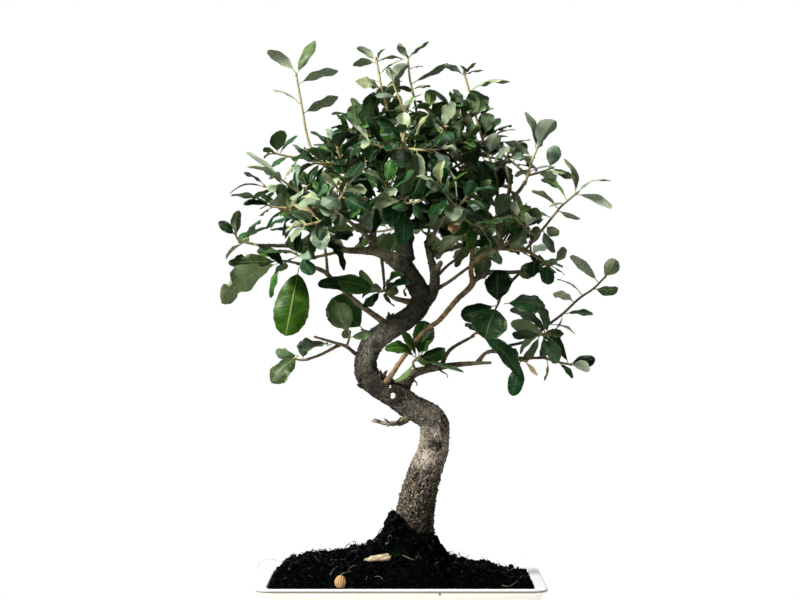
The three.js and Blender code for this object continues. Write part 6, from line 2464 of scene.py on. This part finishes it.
@dataclass(frozen=True)
class ScreenFinish:
    """Dark moulded plastic of the drainage screens."""

    tone: Colour = (0.018, 0.02, 0.018)

    def material(self) -> Material:
        """Builds the plastic.

        Returns:
            The material.
        """
        g = Graph("screen_plastic")
        place = g.place()
        fine = g.grain(place, 1600, 3, 0.6)
        tone = g.shaded(self.tone, fine * 0.6 + 0.7)
        return g.surface(Base_Color=tone, Roughness=fine * 0.2 + 0.45, Normal=g.bump(fine, 0.0002, 0.6))

    def dress(self) -> None:
        """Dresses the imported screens, whose shape is right."""
        material = self.material()
        for side in ("left", "right"):
            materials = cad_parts[f"drainage_screen_{side}"].data.materials
            materials.clear()
            materials.append(material)


@dataclass(frozen=True)
class Softbox:
    """One large soft light, placed from the middle of the tree."""

    name: str
    offset: tuple[float, float, float]
    size: float
    power: float


@dataclass
class Studio:
    """White background, pale floor, soft lights, and the camera in front."""

    site: Site
    distance: float = 2.4
    height: float = 0.3146
    aside: float = 0.0009
    lens: float = 120.0
    sensor: float = 36.0
    floor_radius: float = 0.75
    floor_fade: tuple[float, float] = (0.46, 0.26)
    sky: float = 0.22
    lights: tuple[Softbox, ...] = (
        Softbox("key", (-1.35, -0.8, 1.15), 0.5, 92),
        Softbox("fill", (-1.2, -2.0, 0.3), 1.2, 6),
        Softbox("top", (0.1, 0.3, 1.8), 1.2, 34),
    )

    def build(self) -> None:
        """Sets up everything but the tree."""
        self._camera()
        self._world()
        self._floor()
        middle = Vector((self.site.middle_x, self.site.middle_y, self.height))
        for box in self.lights:
            data = bpy.data.lights.new(box.name, "AREA")
            data.size = box.size
            data.energy = box.power
            light = bpy.data.objects.new(box.name, data)
            light.location = middle + Vector(box.offset)
            light.rotation_euler = (-Vector(box.offset)).to_track_quat("-Z", "Y").to_euler()
            bpy.context.scene.collection.objects.link(light)
        bpy.context.scene.view_settings.view_transform = "Standard"

    def _camera(self) -> None:
        """Puts the camera level in front of the tree."""
        data = bpy.data.cameras.new("camera")
        data.lens = self.lens
        data.sensor_width = self.sensor
        camera = bpy.data.objects.new("camera", data)
        camera.location = (self.site.middle_x - self.aside, self.site.middle_y - self.distance, self.height)
        camera.rotation_euler = (math.pi / 2, 0, 0)
        bpy.context.scene.collection.objects.link(camera)
        bpy.context.scene.camera = camera

    def _world(self) -> None:
        """Makes an even white background that lights a little less than it shows."""
        g = Graph("white_sweep", "worlds", "ShaderNodeOutputWorld")
        shown = g.channel("ShaderNodeLightPath", output="Is Camera Ray")
        strength = g.channel("ShaderNodeMapRange", None, {"Value": shown, "To Min": self.sky, "To Max": 1.0})
        background = {"Color": (1, 1, 1), "Strength": strength}
        bpy.context.scene.world = g.end("ShaderNodeBackground", background)

    def _floor(self) -> None:
        """Lays a pale round floor that fades into the background."""
        g = Graph("pale_floor")
        place = g.place()
        x, y, _ = g.parts(place)
        away = g.math("SQRT", x * x + y * y)
        haze = g.grain(place, 12, 2, 0.5)
        tone = g.shaded((0.86, 0.86, 0.85), haze * 0.06 + 0.97)
        material = g.surface(Base_Color=tone, Roughness=0.9, Alpha=away.between(*self.floor_fade))
        mesh = bpy.data.meshes.new("floor")
        ring = circle(self.floor_radius, 96)
        mesh.from_pydata(ring.tolist(), [], [tuple(range(len(ring)))])
        mesh.materials.append(material)
        floor = bpy.data.objects.new("floor", mesh)
        floor.location = (self.site.middle_x, self.site.middle_y, 0)
        bpy.context.scene.collection.objects.link(floor)


def report(pieces: Sequence[Piece]) -> None:
    """Logs how many faces each piece has."""
    for piece in pieces:
        LOG.info("%s: %d faces", piece.name, len(piece.data.polygons))


def main() -> None:
    """Builds the studio and the tree, piece by piece."""
    logging.basicConfig(level=logging.INFO, format="%(name)s: %(message)s")
    size = TraySize()
    site = Site.of_tray(size.rim)
    Studio(site).build()
    wood = Wood(site, {"trunk": TRUNK_ROWS, **LIMBS})
    report(wood.build(BarkFinish()))
    report(Foliage(site, STEMS).build(LeafFinish()))
    soil = Soil(site, size)
    report([soil.build(SoilFinish())])
    husk = LitterFinish("dry_husk", (0.60, 0.37, 0.13), (0.26, 0.13, 0.035), (1, 1, 0.2))
    chip = LitterFinish("pale_chip", (0.62, 0.50, 0.30), (0.12, 0.08, 0.04), (0.15, 1, 1))
    report(Litter(site, soil).build(husk, chip))
    report([Tray(site, size).build(GlazeFinish())])
    ScreenFinish().dress()


if __name__ == "__main__":
    main()
